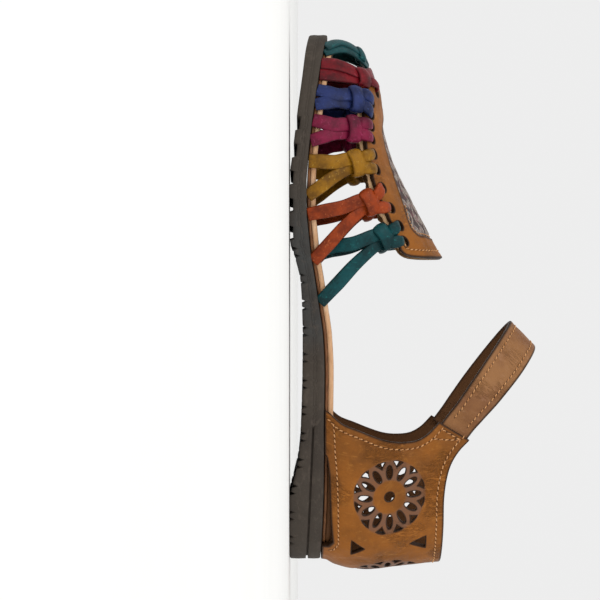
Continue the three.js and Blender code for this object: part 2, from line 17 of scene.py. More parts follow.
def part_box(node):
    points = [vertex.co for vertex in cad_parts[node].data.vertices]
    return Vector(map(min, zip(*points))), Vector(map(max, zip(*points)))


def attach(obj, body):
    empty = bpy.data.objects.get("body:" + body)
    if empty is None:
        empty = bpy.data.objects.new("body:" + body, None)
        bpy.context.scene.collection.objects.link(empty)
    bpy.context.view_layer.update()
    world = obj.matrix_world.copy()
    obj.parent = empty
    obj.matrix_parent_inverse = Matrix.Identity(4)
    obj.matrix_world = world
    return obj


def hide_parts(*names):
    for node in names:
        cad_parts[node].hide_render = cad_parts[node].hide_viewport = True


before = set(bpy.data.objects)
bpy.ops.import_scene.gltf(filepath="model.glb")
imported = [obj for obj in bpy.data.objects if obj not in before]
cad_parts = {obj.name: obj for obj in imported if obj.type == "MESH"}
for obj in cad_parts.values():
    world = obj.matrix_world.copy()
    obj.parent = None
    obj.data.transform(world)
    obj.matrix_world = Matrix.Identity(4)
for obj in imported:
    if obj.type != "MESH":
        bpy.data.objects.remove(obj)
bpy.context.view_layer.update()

# %% [markdown]
# ## The maker's measures
# Tables say what the last and the sole look like at a row of places from heel to toe. X runs from 0 at
# the back of the sole towards the toe, Y towards the inner side of the foot, Z up from the ground.
# A smooth curve that never overshoots is laid through each table, so few rows give a clean shape.

# %% Sizes and tables
SOLE_LENGTH = 249
HEEL_ROUND = 31  # length of the sole's round back end
TOE_ROUND = 54  # length over which the sole closes at the toe
TOE_SQUARE = 2.6  # how square the toe's plan is
TOE_BLUNT = 0.45
GAP = 0.3  # between pieces that meet
RIM = 2.6  # ledge of the sole outside the last
INSOLE = 4
PANEL = 2.2  # thickness of the vamp panel, and below of the counter and the strap
COUNTER = 2.4
STRAP = 2.4
STRAP_WIDE = 16
LAST_TIP = 246.4
HEEL_TURN = 28.6  # length of the wall's round back
HEEL_ARC = 44.6  # length of leather round a quarter of it

# x, middle line, half width, tread height, top height
SOLE = [
    (0, 0, 31, 0, 14.6), (30, 0, 31, 0, 15.8), (39, 0, 30.8, 2, 16), (50, -0.3, 30.6, 4.4, 16.1),
    (62, -0.8, 30.3, 5.4, 16.1), (90, -2.6, 30.6, 6.2, 16.4), (106, -3.2, 32, 6.3, 15.7),
    (120, -3.4, 33.8, 6, 13.8), (132, -3.2, 35.8, 5.3, 12), (144, -2.6, 38.2, 2.6, 10),
    (153, -1.8, 40, 0, 9), (165, -0.6, 42, 0, 8), (177, 0.8, 43, 0, 8), (189, 2, 42.6, 1.4, 8.7),
    (201, 3, 41, 2.8, 10), (209, 3.6, 39.6, 3.7, 11), (227, 5, 35.4, 6, 13.6), (242, 6, 32, 7.8, 16.2),
    (249, 6.4, 30, 9.2, 18),
]
# x, height of the crest, sideways place of the crest, how peaked the section is
LAST = [
    (118, 87, 4, 1.2), (142, 71.4, 4, 1.2), (153, 64.9, 4, 1.2), (171, 55.3, 4.5, 1.15),
    (189, 47.7, 5, 1.1), (205, 43.1, 5.5, 1.05), (220, 41.2, 6, 1), (228, 39.6, 6, 1), (236, 36.4, 6, 1),
    (241, 33.4, 6, 1), (244, 30.4, 6, 1), (245.8, 26, 6, 1), (246.4, 21, 6, 1),
]
# x, z of the vamp panel's edge in side view, from its front end to the throat
PANEL_EDGE = [
    (226.4, 48), (226, 41.5), (224, 38.2), (219, 36.2), (210, 35.2), (198, 35.3), (188, 36.6),
    (176, 39.8), (165, 44.4), (156, 48.8), (149.6, 51), (146.6, 51.8), (144.2, 54.6), (143, 60),
    (142.3, 80),
]
# z, how far the heel's wall stands behind the sole, its width as a share of the sole's
HEEL_WALL = [
    (13, 0, 1), (17, -0.4, 1), (21, -2.2, 1.01), (29, -4.4, 1.03), (38, -5.2, 1.02), (50, -3.8, 0.98),
    (70, -1.6, 0.9), (92, 2.4, 0.86),
]
# x, z in side view: the counter's front edge, its top edge, and the slot over the sole
COUNTER_FRONT = [
    (72.4, 16.7), (71.2, 18.6), (66, 24.6), (63, 32), (60.2, 39), (58, 46), (57.4, 52), (58.2, 59),
    (61, 64.2), (66.6, 69.8),
]
COUNTER_TOP = [(58.2, 84), (53, 79), (47.2, 75.4), (41, 73.4), (31.5, 72), (18, 71.8), (6, 71.6)]
SLOT = [(51.6, 16.6), (51, 17.2), (44, 18.3), (30, 18.9), (18, 19.6), (11.8, 20.3), (10, 19)]
# name, front foot, back foot, knot's x and z, the two lace holes, tilt of the wrap, tucked inside
THONGS = [
    ("blue", 219.5, 212.6, 215.6, 29.6, (215, 209.2), 5, False),
    ("magenta", 205.4, 196, 201.8, 28.4, (203.6, 197.6), -4, False),
    ("yellow", 186.8, 171.2, 186.2, 29.8, (190.6, 183.4), 6, False),
    ("orange", 162.8, 141.6, 168.4, 36, (175, 165.8), 8, False),
    ("teal", 145.4, 122.4, 152.6, 43, (157.6, 150.4), 8, True),
]
# x, z of the strap's middle line where it leaves the lug, and at the front of the ankle
STRAP_START = (62.6, 77.2)
STRAP_FRONT = (107, 110.6)
# share of the way from start to front, share of the half width
STRAP_ROUTE = [(-0.045, 1), (0.06, 1), (0.3, 0.99), (0.56, 0.87), (0.78, 0.65), (0.94, 0.35), (1, 0)]
STRAP_HALF = 26
STRAP_LEAN = 0.16  # how far the strap leans back at the front
SIDES = {1: "inner", -1: "outer"}

WIDEST = max(middle + half for _, middle, half, _, _ in SOLE)
low_corner, high_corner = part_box("outsole")
OFFSET = np.array([low_corner.x, high_corner.y - WIDEST / 1000, 0])
print("from the maker's zero to the frame's, mm:", np.round(OFFSET * 1000, 2))


# %% A table read as a smooth curve
def read(rows, column, at):
    """A table's column at any places on its first column, as a smooth curve that never overshoots."""
    table = np.array(rows, float)
    if table[0, 0] > table[-1, 0]:
        table = table[::-1]
    key = table[:, 0]
    value = table[:, column]
    run = np.diff(key)
    slope = np.diff(value) / run
    before = slope[:-1]
    after = slope[1:]
    agree = before * after > 0
    lean = np.empty_like(value)
    lean[0] = slope[0]
    lean[-1] = slope[-1]
    lean[1:-1] = np.where(agree, 2 * before * after / np.where(agree, before + after, 1), 0)
    place = np.clip(at, key[0], key[-1])
    i = np.clip(np.searchsorted(key, place, side="right") - 1, 0, len(run) - 1)
    t = (place - key[i]) / run[i]
    bend = (1 - t) * lean[i] - t * lean[i + 1]
    straight = slope[i] * (1 - 2 * t)
    return value[i] + (value[i + 1] - value[i]) * t + t * (1 - t) * run[i] * (bend - straight)


def sole_middle(x):
    return read(SOLE, 1, x)


def sole_tread(x):
    return read(SOLE, 3, x)


def sole_top(x):
    return read(SOLE, 4, x)


def plan_half(x, inset):
    """Half the width of the sole's plan, or of the same plan drawn inset all round."""
    heel = np.clip((HEEL_ROUND - x) / (HEEL_ROUND - inset), 0, 1)
    toe = np.clip((x - SOLE_LENGTH + TOE_ROUND) / (TOE_ROUND - inset), 0, 1)
    return (read(SOLE, 2, x) - inset) * np.sqrt(1 - heel**2) * (1 - toe**TOE_SQUARE) ** TOE_BLUNT


print("width at the ball:", round(2 * float(plan_half(177.0, 0)), 1), "mm")

# %% [markdown]
# ## The last
# A shoe is shaped over a last, the maker's wooden foot. Here the last is only a formula: it gives a
# point for a place along the foot and a turn round it, 0 degrees at the inner edge of the sole, 90 on
# the crest, 180 at the outer edge. Everything in the forefoot is laid on it at some distance off.


# %% Points on the last
def stack(*parts):
    return np.stack(np.broadcast_arrays(*parts), -1)


def unit(vectors):
    return vectors / np.maximum(np.linalg.norm(vectors, axis=-1, keepdims=True), 1e-9)


def on_last(x, turn):
    angle = np.radians(turn)
    along = np.minimum(x, LAST_TIP)
    low = sole_top(along) + GAP
    high = np.maximum(read(LAST, 1, along) - low, 1)
    half = np.maximum(plan_half(along, RIM), 0.4)
    side = np.sign(np.cos(angle)) * np.abs(np.cos(angle)) ** read(LAST, 3, along)
    drift = (read(LAST, 2, along) - sole_middle(along)) * np.sin(angle)
    return stack(along, sole_middle(along) + drift + half * side, low + high * np.sin(angle))


def last_normal(x, turn):
    place = np.minimum(x, LAST_TIP - 0.3)
    along = on_last(place + 0.2, turn) - on_last(place - 0.8, turn)
    around = on_last(place, turn + 0.5) - on_last(place, turn - 0.5)
    return unit(np.cross(around, along))


def off_last(x, turn, off):
    x, turn, off = np.broadcast_arrays(np.asarray(x, float), np.asarray(turn, float), off)
    return on_last(x, turn) + last_normal(x, turn) * off[..., None]


def turn_at(x, z, side):
    """The turn at which the last reaches a height, on the inner side (1) or the outer (-1)."""
    low = sole_top(x) + GAP
    turn = np.degrees(np.arcsin(np.clip((z - low) / (read(LAST, 1, x) - low), 0, 1)))
    return turn if side > 0 else 180 - turn


print("crest over the ball:", np.round(on_last(177.0, 90.0), 1))

# %% [markdown]
# ## The heel's wall
# The counter wraps the heel like a bent sheet. Its leather is measured along the bend from the middle
# of the back, so a rosette that is round on the flat leather stays round once it is wrapped.


# %% Points on the heel's wall
def on_heel(along, z, off):
    along, z, off = np.broadcast_arrays(along, z, off)
    side = np.where(along < 0, -1, 1)
    turn = np.minimum(np.abs(along) / HEEL_ARC, 1) * (math.pi / 2)
    straight = np.maximum(np.abs(along) - HEEL_ARC, 0)
    x = read(HEEL_WALL, 1, z) + COUNTER + HEEL_TURN * (1 - np.cos(turn)) + straight
    half = (read(SOLE, 2, x) - RIM) * read(HEEL_WALL, 2, z)
    out_x = -np.cos(turn)
    out_y = side * np.sin(turn)
    return stack(x + out_x * off, sole_middle(x) + side * half * np.sin(turn) + out_y * off, z)


def heel_along(x, z):
    """How far along the leather a side-view place lies."""
    reach = x - read(HEEL_WALL, 1, z) - COUNTER
    turn = np.arccos(np.clip(1 - reach / HEEL_TURN, -1, 1))
    return np.where(reach <= HEEL_TURN, turn / (math.pi / 2) * HEEL_ARC, HEEL_ARC + reach - HEEL_TURN)


print("back of the heel:", np.round(on_heel(0.0, 38.0, COUNTER), 1))


# %% [markdown]
# ## Lines on leather
# Edges, seams and thongs are all given by a few points that the maker would mark, with a smooth line
# drawn through them. Blender's own curves could do this, but a line of equal steps is easier to
# measure, to shift sideways as a seam, and to test for how near a point lies.


# %% Smooth lines
CURVE_STEPS = 24  # fine steps between two marks, before the line is cut into equal ones


def curve(points, step):
    """A smooth line through points, cut into equal steps."""
    given = np.array(points, float)
    given = np.vstack([2 * given[0] - given[1], given, 2 * given[-1] - given[-2]])
    apart = np.maximum(np.linalg.norm(np.diff(given, axis=0), axis=1), 1e-6) ** 0.5
    t = np.linspace(0, 1, CURVE_STEPS, endpoint=False)[:, None]
    fine = []
    for i in range(1, len(given) - 2):
        a, b, c, d = given[i - 1 : i + 3]
        before, here, after = apart[i - 1 : i + 2]
        leave = ((b - a) / before - (c - a) / (before + here) + (c - b) / here) * here
        arrive = ((c - b) / here - (d - b) / (here + after) + (d - c) / after) * here
        cubic = (2 * b - 2 * c + leave + arrive) * t**3
        square = (3 * c - 3 * b - 2 * leave - arrive) * t**2
        fine.append(cubic + square + leave * t + b)
    fine.append(given[-2][None])
    return even(np.vstack(fine), step)


def even(line, step):
    """The same line cut into equal steps."""
    far = length_along(line)
    count = max(int(round(far[-1] / step)), 2)
    places = np.linspace(0, far[-1], count + 1)
    return np.stack([np.interp(places, far, line[:, k]) for k in range(line.shape[1])], 1)


def length_along(line):
    return np.concatenate([[0], np.cumsum(np.linalg.norm(np.diff(line, axis=0), axis=1))])


print("panel's edge in side view, mm:", round(float(length_along(curve(PANEL_EDGE, 0.5))[-1]), 0))


# %% Sides of a line
def normals_of(line, closed):
    """The left-hand normal of a flat line."""
    if closed:
        lean = np.roll(line, -1, 0) - np.roll(line, 1, 0)
    else:
        lean = np.gradient(line, axis=0)
    return unit(np.stack([-lean[:, 1], lean[:, 0]], 1))


def nearest(points, line):
    """How far flat points are from a line of close points."""
    best = np.full(len(points), 1e9)
    for part in np.array_split(np.asarray(line), max(len(line) // 64, 1)):
        gap = np.linalg.norm(points[:, None] - part[None], axis=2)
        best = np.minimum(best, gap.min(1))
    return best


def inside(points, ring):
    """Which flat points lie inside a ring."""
    x = points[:, 0][:, None]
    y = points[:, 1][:, None]
    x0, y0 = ring[:, 0][None], ring[:, 1][None]
    x1, y1 = np.roll(ring, -1, 0).T[:, None]
    spans = (y0 > y) != (y1 > y)
    cross = x0 + (y - y0) * (x1 - x0) / np.where(y1 == y0, 1e-9, y1 - y0)
    return ((spans & (x < cross)).sum(1) % 2) == 1


# %% [markdown]
# ## From points to a piece
# Every piece ends as a mesh: points, faces, and a few marks at each point that tell its finish where
# it is rubbed, darkened or cut. The marks are kept as attributes, because unlike a picture wrapped
# round the piece they need no unfolding and never smear.


# %% Pieces
PIECES = {}
SAME_PLACE = 1e-7  # metres


def weld(mesh):
    """Points in the same place become one, as where the two sides of the sole meet at its ends."""
    shape = bmesh.new()
    shape.from_mesh(mesh)
    bmesh.ops.remove_doubles(shape, verts=shape.verts, dist=SAME_PLACE)
    shape.to_mesh(mesh)
    shape.free()


def add_piece(name, points, faces, finish, slot, stands_for=(), **marks):
    """One mesh of the sandal; marks are numbers or triples kept at each point for its finish."""
    mesh = bpy.data.meshes.new(name)
    mesh.from_pydata((points / 1000 + OFFSET).tolist(), [], [list(map(int, f)) for f in faces])
    for mark, values in marks.items():
        values = np.asarray(values, np.float32)
        kind = "FLOAT" if values.ndim == 1 else "FLOAT_VECTOR"
        layer = mesh.attributes.new(mark, kind, "POINT")
        layer.data.foreach_set("value" if values.ndim == 1 else "vector", values.ravel())
    weld(mesh)
    mesh.shade_smooth()
    mesh.materials.append(finish)
    made = bpy.data.objects.new(name, mesh)
    bpy.context.scene.collection.objects.link(made)
    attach(made, "root")
    if stands_for:
        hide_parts(*stands_for)
    PIECES[name] = sum(len(face.vertices) - 2 for face in mesh.polygons)
    print(f"{name}: {PIECES[name]} triangles")
    return made


# %% A piece made of several parts
class Build:
    """Points, faces and marks gathered from several parts of one piece."""

    def __init__(self):
        self.points = []
        self.faces = []
        self.marks = {}
        self.count = 0

    def add(self, points, faces, **marks):
        self.faces += [[i + self.count for i in f] for f in faces]
        self.points.append(points)
        self.count += len(points)
        for mark, values in marks.items():
            values = np.asarray(values, float)
            if values.ndim == 0:
                values = np.full(len(points), float(values))
            self.marks.setdefault(mark, []).append(values)

    def piece(self, name, finish, slot, stands_for=()):
        marks = {mark: np.concatenate(values) for mark, values in self.marks.items()}
        return add_piece(name, np.vstack(self.points), self.faces, finish, slot, stands_for, **marks)


# %% [markdown]
# ## Cut leather
# Leather pieces are cut flat, punched, then bent. So each one starts as a flat outline with holes,
# is filled with small triangles, and is bent by a formula into its place. The cut edge is rounded in
# small steps, because light catches a real edge and a sharp one looks like paper.


# %% Which way a shape faces
def way_round(ring, left):
    """The ring turned so that the leather lies on its left."""
    x, y = ring.T
    area = np.sum(x * np.roll(y, -1) - np.roll(x, -1) * y)
    return ring if (area > 0) == left else ring[::-1]


def face_out(points, faces):
    """The same faces, turned so that a closed shape faces outwards."""
    volume = 0
    for face in faces:
        a, b, c = points[face[0]], points[face[1]], points[face[2]]
        volume += a @ np.cross(b, c)
        if len(face) == 4:
            volume += a @ np.cross(c, points[face[3]])
    return faces if volume > 0 else [face[::-1] for face in faces]


# %% Filling an outline with triangles
ROW_APART = 0.87  # between two rows of an even triangle grid, as a share of its spacing
# how clear of the points already there these are kept, as shares of the spacing
CLEAR_NEAR = 0.42
CLEAR_LINE = 0.4
CLEAR_GRID = 0.62
INSIDE_ONLY = 1  # the filler's way that leaves out triangles beyond the outline


def filled(rings, near, spacing, lines):
    """Triangles inside the first ring and outside the others."""
    low = rings[0].min(0)
    high = rings[0].max(0)
    rows = np.arange(low[1], high[1], spacing * ROW_APART)
    shift = [(i % 2) * spacing / 2 for i in range(len(rows))]
    grid = [[(x, y) for x in np.arange(low[0] + s, high[0], spacing)] for s, y in zip(shift, rows)]
    edge = np.vstack(rings)
    kept = np.zeros((0, 2))
    offered = [(np.vstack(near), CLEAR_NEAR)]
    offered += [(line, CLEAR_LINE) for line in lines]
    offered.append((np.vstack(grid), CLEAR_GRID))
    for more, clear in offered:
        more = more[nearest(more, edge) > clear * spacing]
        if len(kept):
            more = more[nearest(more, kept) > clear * spacing]
        kept = np.vstack([kept, more])
    keep = inside(kept, rings[0])
    for hole in rings[1:]:
        keep &= ~inside(kept, hole)
    flat = np.vstack([edge, kept[keep]])
    bounds = []
    start = 0
    for ring in rings:
        count = len(ring)
        bounds += [(start + i, start + (i + 1) % count) for i in range(count)]
        start += count
    made = delaunay_2d_cdt([Vector(p) for p in flat.tolist()], bounds, [], INSIDE_ONLY, 1e-6)
    corners = np.array([tuple(v) for v in made[0]])
    faces = np.array([f for f in made[2] if len(f) == 3])
    centre = corners[faces].mean(1)
    keep = np.ones(len(faces), bool)
    for hole in rings[1:]:
        keep &= ~inside(centre, hole)
    order = np.full(len(flat), -1)
    for i, sources in enumerate(made[3]):
        for source in sources:
            order[source] = i
    return corners, faces[keep], order


# %% Bending it and rounding its edges
SEAM_SHADE = 0.88  # how dark the painted shade is along a seam, and how far to each side
SEAM_WIDE = 0.62
OUTLINE_RUBBED = 0.9  # the same for the wax at the outline and at a small cut, and for the painted shade round a window
OUTLINE_WIDE = 1.5
CUT_WAX_AND_WINDOW_SHADE = 0.85
CUT_WIDE = 0.45
WINDOW_SHADE_WIDE = 1.7
WINDOW_SHADE_START = 1.3
WINDOW_POINTS = 60  # a cut with more points than this is a window
ROUND_ABOVE = (35, 65, 90)  # degrees round the edge, from the upper skin down
ROUND_BELOW = (90, 60, 30)


def wax_and_painted_shade(flat, rings, seams):
    """Darkening marks: waxed cut edges with painted shade round a window; then the same with painted shade
    along the seams.
    """
    rim = np.clip(1 - nearest(flat, rings[0]) / OUTLINE_WIDE, 0, 1) * OUTLINE_RUBBED
    for cut in rings[1:]:
        # a window's edge gets a wider, flat band of painted shade on the panel round it
        window = len(cut) > WINDOW_POINTS
        wide = WINDOW_SHADE_WIDE if window else CUT_WIDE
        start = WINDOW_SHADE_START if window else 1
        rim = np.maximum(rim, np.clip(start - nearest(flat, cut) / wide, 0, 1) * CUT_WAX_AND_WINDOW_SHADE)
    # painted shade along the seams, for the outer face only
    with_seam_shade = rim
    for seam in seams:
        with_seam_shade = np.maximum(with_seam_shade, SEAM_SHADE * np.exp(-((nearest(flat, seam) / SEAM_WIDE) ** 2)))
    return rim, with_seam_shade


def sheet(outline, holes, place, thick, spacing, relief=None, lines=(), edge=0.5, burn=None, seams=()):
    """A closed sheet of leather bent by place(u, v, off)."""
    rings = [way_round(outline, True)] + [way_round(hole, False) for hole in holes]
    inset = [ring + normals_of(ring, True) * edge for ring in rings]
    near = [ring + normals_of(ring, True) * (edge + 0.6 * spacing) for ring in rings]
    flat, faces, order = filled(inset, near, spacing, lines)
    lift = relief(flat) if relief else np.zeros(len(flat))
    count = len(flat)
    outer = place(flat[:, 0], flat[:, 1], thick + lift)
    inner = place(flat[:, 0], flat[:, 1], np.zeros(count))
    rim, with_seam_shade = wax_and_painted_shade(flat, inset, seams)
    scorch = burn(flat) if burn else np.zeros(count)
    points = [outer, inner]
    all_faces = faces.tolist() + (faces[:, ::-1] + count).tolist()
    marks = {
        "rim": [with_seam_shade, rim],
        "skin": [np.ones(count), np.zeros(count)],
        "flat": [np.column_stack([flat, np.zeros(count)])] * 2,
        "burn": [scorch, np.zeros(count)],
    }
    soft = min(edge, thick * 0.45)
    steps = [(angle, thick, -1) for angle in ROUND_ABOVE] + [(angle, 0, 1) for angle in ROUND_BELOW]
    start = 2 * count
    first = 0
    for ring, cut in zip(rings, inset):
        size = len(ring)
        above = order[first : first + size]
        height = lift[above]
        charred = scorch[above]
        turn = normals_of(ring, True)
        for angle, level, way in steps:
            back = edge * (1 - math.sin(math.radians(angle)))
            drop = soft * (1 - math.cos(math.radians(angle)))
            flat_ring = ring + turn * back
            off = level + way * drop + (height * math.cos(math.radians(angle)) if level else 0)
            points.append(place(flat_ring[:, 0], flat_ring[:, 1], off * np.ones(size)))
            marks["rim"].append(np.ones(size))
            marks["skin"].append(np.full(size, 0.8 if level else 0.2))
            marks["flat"].append(np.column_stack([flat_ring, np.full(size, thick - off)]))
            marks["burn"].append(charred)
            below = np.arange(start, start + size)
            for i in range(size):
                j = (i + 1) % size
                all_faces.append([above[j], above[i], below[i], below[j]])
            above = below
            start += size
        below = order[first : first + size] + count
        for i in range(size):
            j = (i + 1) % size
            all_faces.append([above[j], above[i], below[i], below[j]])
        first += size
    points = np.vstack(points)
    marks = {mark: np.concatenate(values) for mark, values in marks.items()}
    return points, face_out(points, all_faces), marks


# %% A strip or a band
def strip(middle, out, wide, thick, square=0.6, around=16, closed=False, dome=0.0):
    """A band of leather along a line; out is the way its upper side faces."""
    count = len(middle)
    if closed:
        along = unit(np.roll(middle, -1, 0) - np.roll(middle, 1, 0))
    else:
        along = unit(np.gradient(middle, axis=0))
    across = unit(np.cross(out, along))
    up = np.cross(along, across)
    turn = np.arange(around) * 2 * math.pi / around
    shape_w = np.sign(np.cos(turn)) * np.abs(np.cos(turn)) ** square
    shape_t = np.sign(np.sin(turn)) * np.abs(np.sin(turn)) ** 0.8
    half_w = np.broadcast_to(np.asarray(wide, float) / 2, (count,))[:, None]
    half_t = np.broadcast_to(np.asarray(thick, float) / 2, (count,))[:, None]
    over = half_w * shape_w
    high = half_t * shape_t - dome * shape_w**2
    points = middle[:, None] + across[:, None] * over[..., None] + up[:, None] * high[..., None]
    far = length_along(middle)
    flat = stack(np.broadcast_to(far[:, None], over.shape), over, high)
    rim = np.broadcast_to(np.abs(shape_w) ** 3, over.shape)
    faces = []
    for i in range(count if closed else count - 1):
        a = i * around
        b = ((i + 1) % count) * around
        faces += [[a + k, a + (k + 1) % around, b + (k + 1) % around, b + k] for k in range(around)]
    if not closed:
        last = (count - 1) * around
        faces += [list(range(around))[::-1], [last + k for k in range(around)]]
    points = points.reshape(-1, 3)
    marks = {"flat": flat.reshape(-1, 3), "rim": rim.reshape(-1), "skin": 1.0, "burn": 0.0}
    return points, face_out(points, faces), marks


# %% Stitches
STITCH_LIFT = 0.26  # how far a stitch's middle stands off the leather
STITCH_DIP = 0.62  # how far its ends go down from there
STITCH_POINTS = 7


def stitch_row(build, line, out, long=1.75, gap=0.7, radius=0.29, slant=0.22):
    """A row of stitches lying on a line, each one a short thread that dips in at both ends."""
    far = length_along(line)
    pitch = far[-1] / max(round(far[-1] / (long + gap)), 1)
    for number in range(int(round(far[-1] / pitch))):
        start = number * pitch + gap / 2
        places = np.linspace(start, start + pitch - gap, STITCH_POINTS)
        share = np.linspace(-1, 1, STITCH_POINTS)
        middle = np.stack([np.interp(places, far, line[:, k]) for k in range(3)], 1)
        up = unit(np.stack([np.interp(places, far, out[:, k]) for k in range(3)], 1))
        across = unit(np.cross(up, np.gradient(middle, axis=0)))
        middle = middle + up * (STITCH_LIFT - STITCH_DIP * share**4)[:, None]
        middle = middle + across * (slant * share)[:, None]
        size = 2 * radius * np.sqrt(1 - 0.75 * share**6)
        points, faces, marks = strip(middle, up, size, size * 0.85, square=1, around=6)
        marks["flat"] = np.column_stack([marks["flat"][:, :2], np.full(len(points), number)])
        build.add(points, faces, flat=marks["flat"])


def on_sheet(place, flat, off):
    """A flat line laid on a bent sheet, and the way out of the sheet along it."""
    base = place(flat[:, 0], flat[:, 1], off * np.ones(len(flat)))
    above = place(flat[:, 0], flat[:, 1], (off + 0.5) * np.ones(len(flat)))
    return base, unit(above - base)


# %% Soft unevenness
WAVES = 8


def ripple(points, wave, seed):
    """Soft uneven bumps, mostly between -1 and 1 and never past 2."""
    chance = np.random.default_rng(seed)
    total = np.zeros(len(points))
    for _ in range(WAVES):
        angle = chance.uniform(0, 2 * math.pi)
        pace = 2 * math.pi / wave * chance.uniform(0.6, 1.6)
        way = np.array([math.cos(angle), math.sin(angle)])
        total += np.sin(points[:, :2] @ way * pace + chance.uniform(0, 2 * math.pi))
    return total / (WAVES / 2)


bench = np.stack(np.meshgrid(np.arange(60.0), np.arange(60.0)), -1).reshape(-1, 2)
bench_lift = ripple(bench, 26, 3)
print("bumps on a 60 mm square, lowest and highest:", np.round([bench_lift.min(), bench_lift.max()], 2))


# %% [markdown]
# ## Finishes as sums
# A shader is a graph of small nodes. Wiring them one by one hides the idea, so a small class wraps an
# output socket and lets it stand in ordinary sums: 1 - mask or grain * 0.3 adds the Math node by
# itself. Colours are mixed, never summed, because a Math node would turn them grey.


# %% Sockets in ordinary sums
def port(sockets, name):
    """A socket by its number, or the one in use that has this name."""
    if isinstance(name, int):
        return sockets[name]
    return next(s for s in sockets if s.name == name and s.enabled)


class Wire:
    """An output of a shader node that can be used in sums."""

    def __init__(self, tree, socket=None):
        self.tree = tree
        self.socket = socket

    def node(self, kind, settings=(), inputs=(), output=0):
        made = self.tree.nodes.new(kind)
        for name, value in dict(settings).items():
            setattr(made, name, value)
        for name, value in dict(inputs).items():
            target = port(made.inputs, name)
            if isinstance(value, Wire):
                self.tree.links.new(value.socket, target)
            else:
                target.default_value = value
        return Wire(self.tree, port(made.outputs, output))

    def maths(self, operation, *values):
        return self.node("ShaderNodeMath", {"operation": operation}, enumerate(values))

    def __add__(self, other):
        return self.maths("ADD", self, other)

    __radd__ = __add__

    def __sub__(self, other):
        return self.maths("SUBTRACT", self, other)

    def __rsub__(self, other):
        return self.maths("SUBTRACT", other, self)

    def __mul__(self, other):
        return self.maths("MULTIPLY", self, other)

    __rmul__ = __mul__

    def __truediv__(self, other):
        return self.maths("DIVIDE", self, other)

    def __pow__(self, other):
        return self.maths("POWER", self, other)

    def rise(self, low, high):
        """0 below low, 1 above high, smooth between; it falls when low is the greater."""
        inputs = {"Value": self, "From Min": low, "From Max": high}
        return self.node("ShaderNodeMapRange", {"interpolation_type": "SMOOTHSTEP"}, inputs, "Result")

    def mix(self, first, second, blend="MIX"):
        """The first colour where this is 0 and the second where it is 1."""
        settings = {"data_type": "RGBA", "blend_type": blend}
        return self.node("ShaderNodeMix", settings, {"Factor": self, "A": first, "B": second}, "Result")

    def mark(self, name, output="Fac"):
        return self.node("ShaderNodeAttribute", {"attribute_name": name}, (), output)

    def stretched(self, scale):
        """The same place, in a space scaled by three numbers."""
        return self.node("ShaderNodeVectorMath", {"operation": "MULTIPLY"}, {0: self, 1: scale})

    def noise(self, scale, detail=3, rough=0.55, bend=0.0):
        inputs = {"Vector": self, "Scale": scale, "Detail": detail, "Roughness": rough, "Distortion": bend}
        return self.node("ShaderNodeTexNoise", (), inputs)

    def pores(self, scale):
        """How far a place is from the nearest of many scattered spots."""
        return self.node("ShaderNodeTexVoronoi", {}, {"Vector": self, "Scale": scale}, "Distance")

    def parts(self):
        """The three numbers of a vector."""
        split = self.node("ShaderNodeSeparateXYZ", (), {0: self})
        outputs = split.socket.node.outputs
        return [Wire(self.tree, outputs[k]) for k in range(3)]


# %% Dyes, and the start and end of a finish
def dye(text):
    """A colour as printed on a dye card, in the renderer's own scale."""
    numbers = [int(text[i : i + 2], 16) / 255 for i in (1, 3, 5)]
    return tuple(v / 12.92 if v <= 0.04045 else ((v + 0.055) / 1.055) ** 2.4 for v in numbers) + (1.0,)


def new_finish(name):
    """A finish, its starting wire, and the place on the sandal in millimetres."""
    made = bpy.data.materials.new(name)
    made.use_nodes = True
    made.node_tree.nodes.clear()
    start = Wire(made.node_tree)
    place = start.node("ShaderNodeTexCoord", (), (), "Object").stretched((1000, 1000, 1000))
    return made, start, place


def close_finish(start, colour, rough, height=None, depth=0.1, **constants):
    """The shader itself; height is in units of depth, which is in millimetres."""
    inputs = {"Base Color": colour, "Roughness": rough}
    inputs.update({name.replace("_", " "): value for name, value in constants.items()})
    if height is not None:
        relief = {"Strength": 1.0, "Distance": depth / 1000, "Height": height}
        inputs["Normal"] = start.node("ShaderNodeBump", (), relief)
    shader = start.node("ShaderNodeBsdfPrincipled", (), inputs)
    end = start.tree.nodes.new("ShaderNodeOutputMaterial")
    start.tree.links.new(shader.socket, end.inputs["Surface"])


print("a middle grey dye, to the renderer:", [round(v, 3) for v in dye("#808080")])
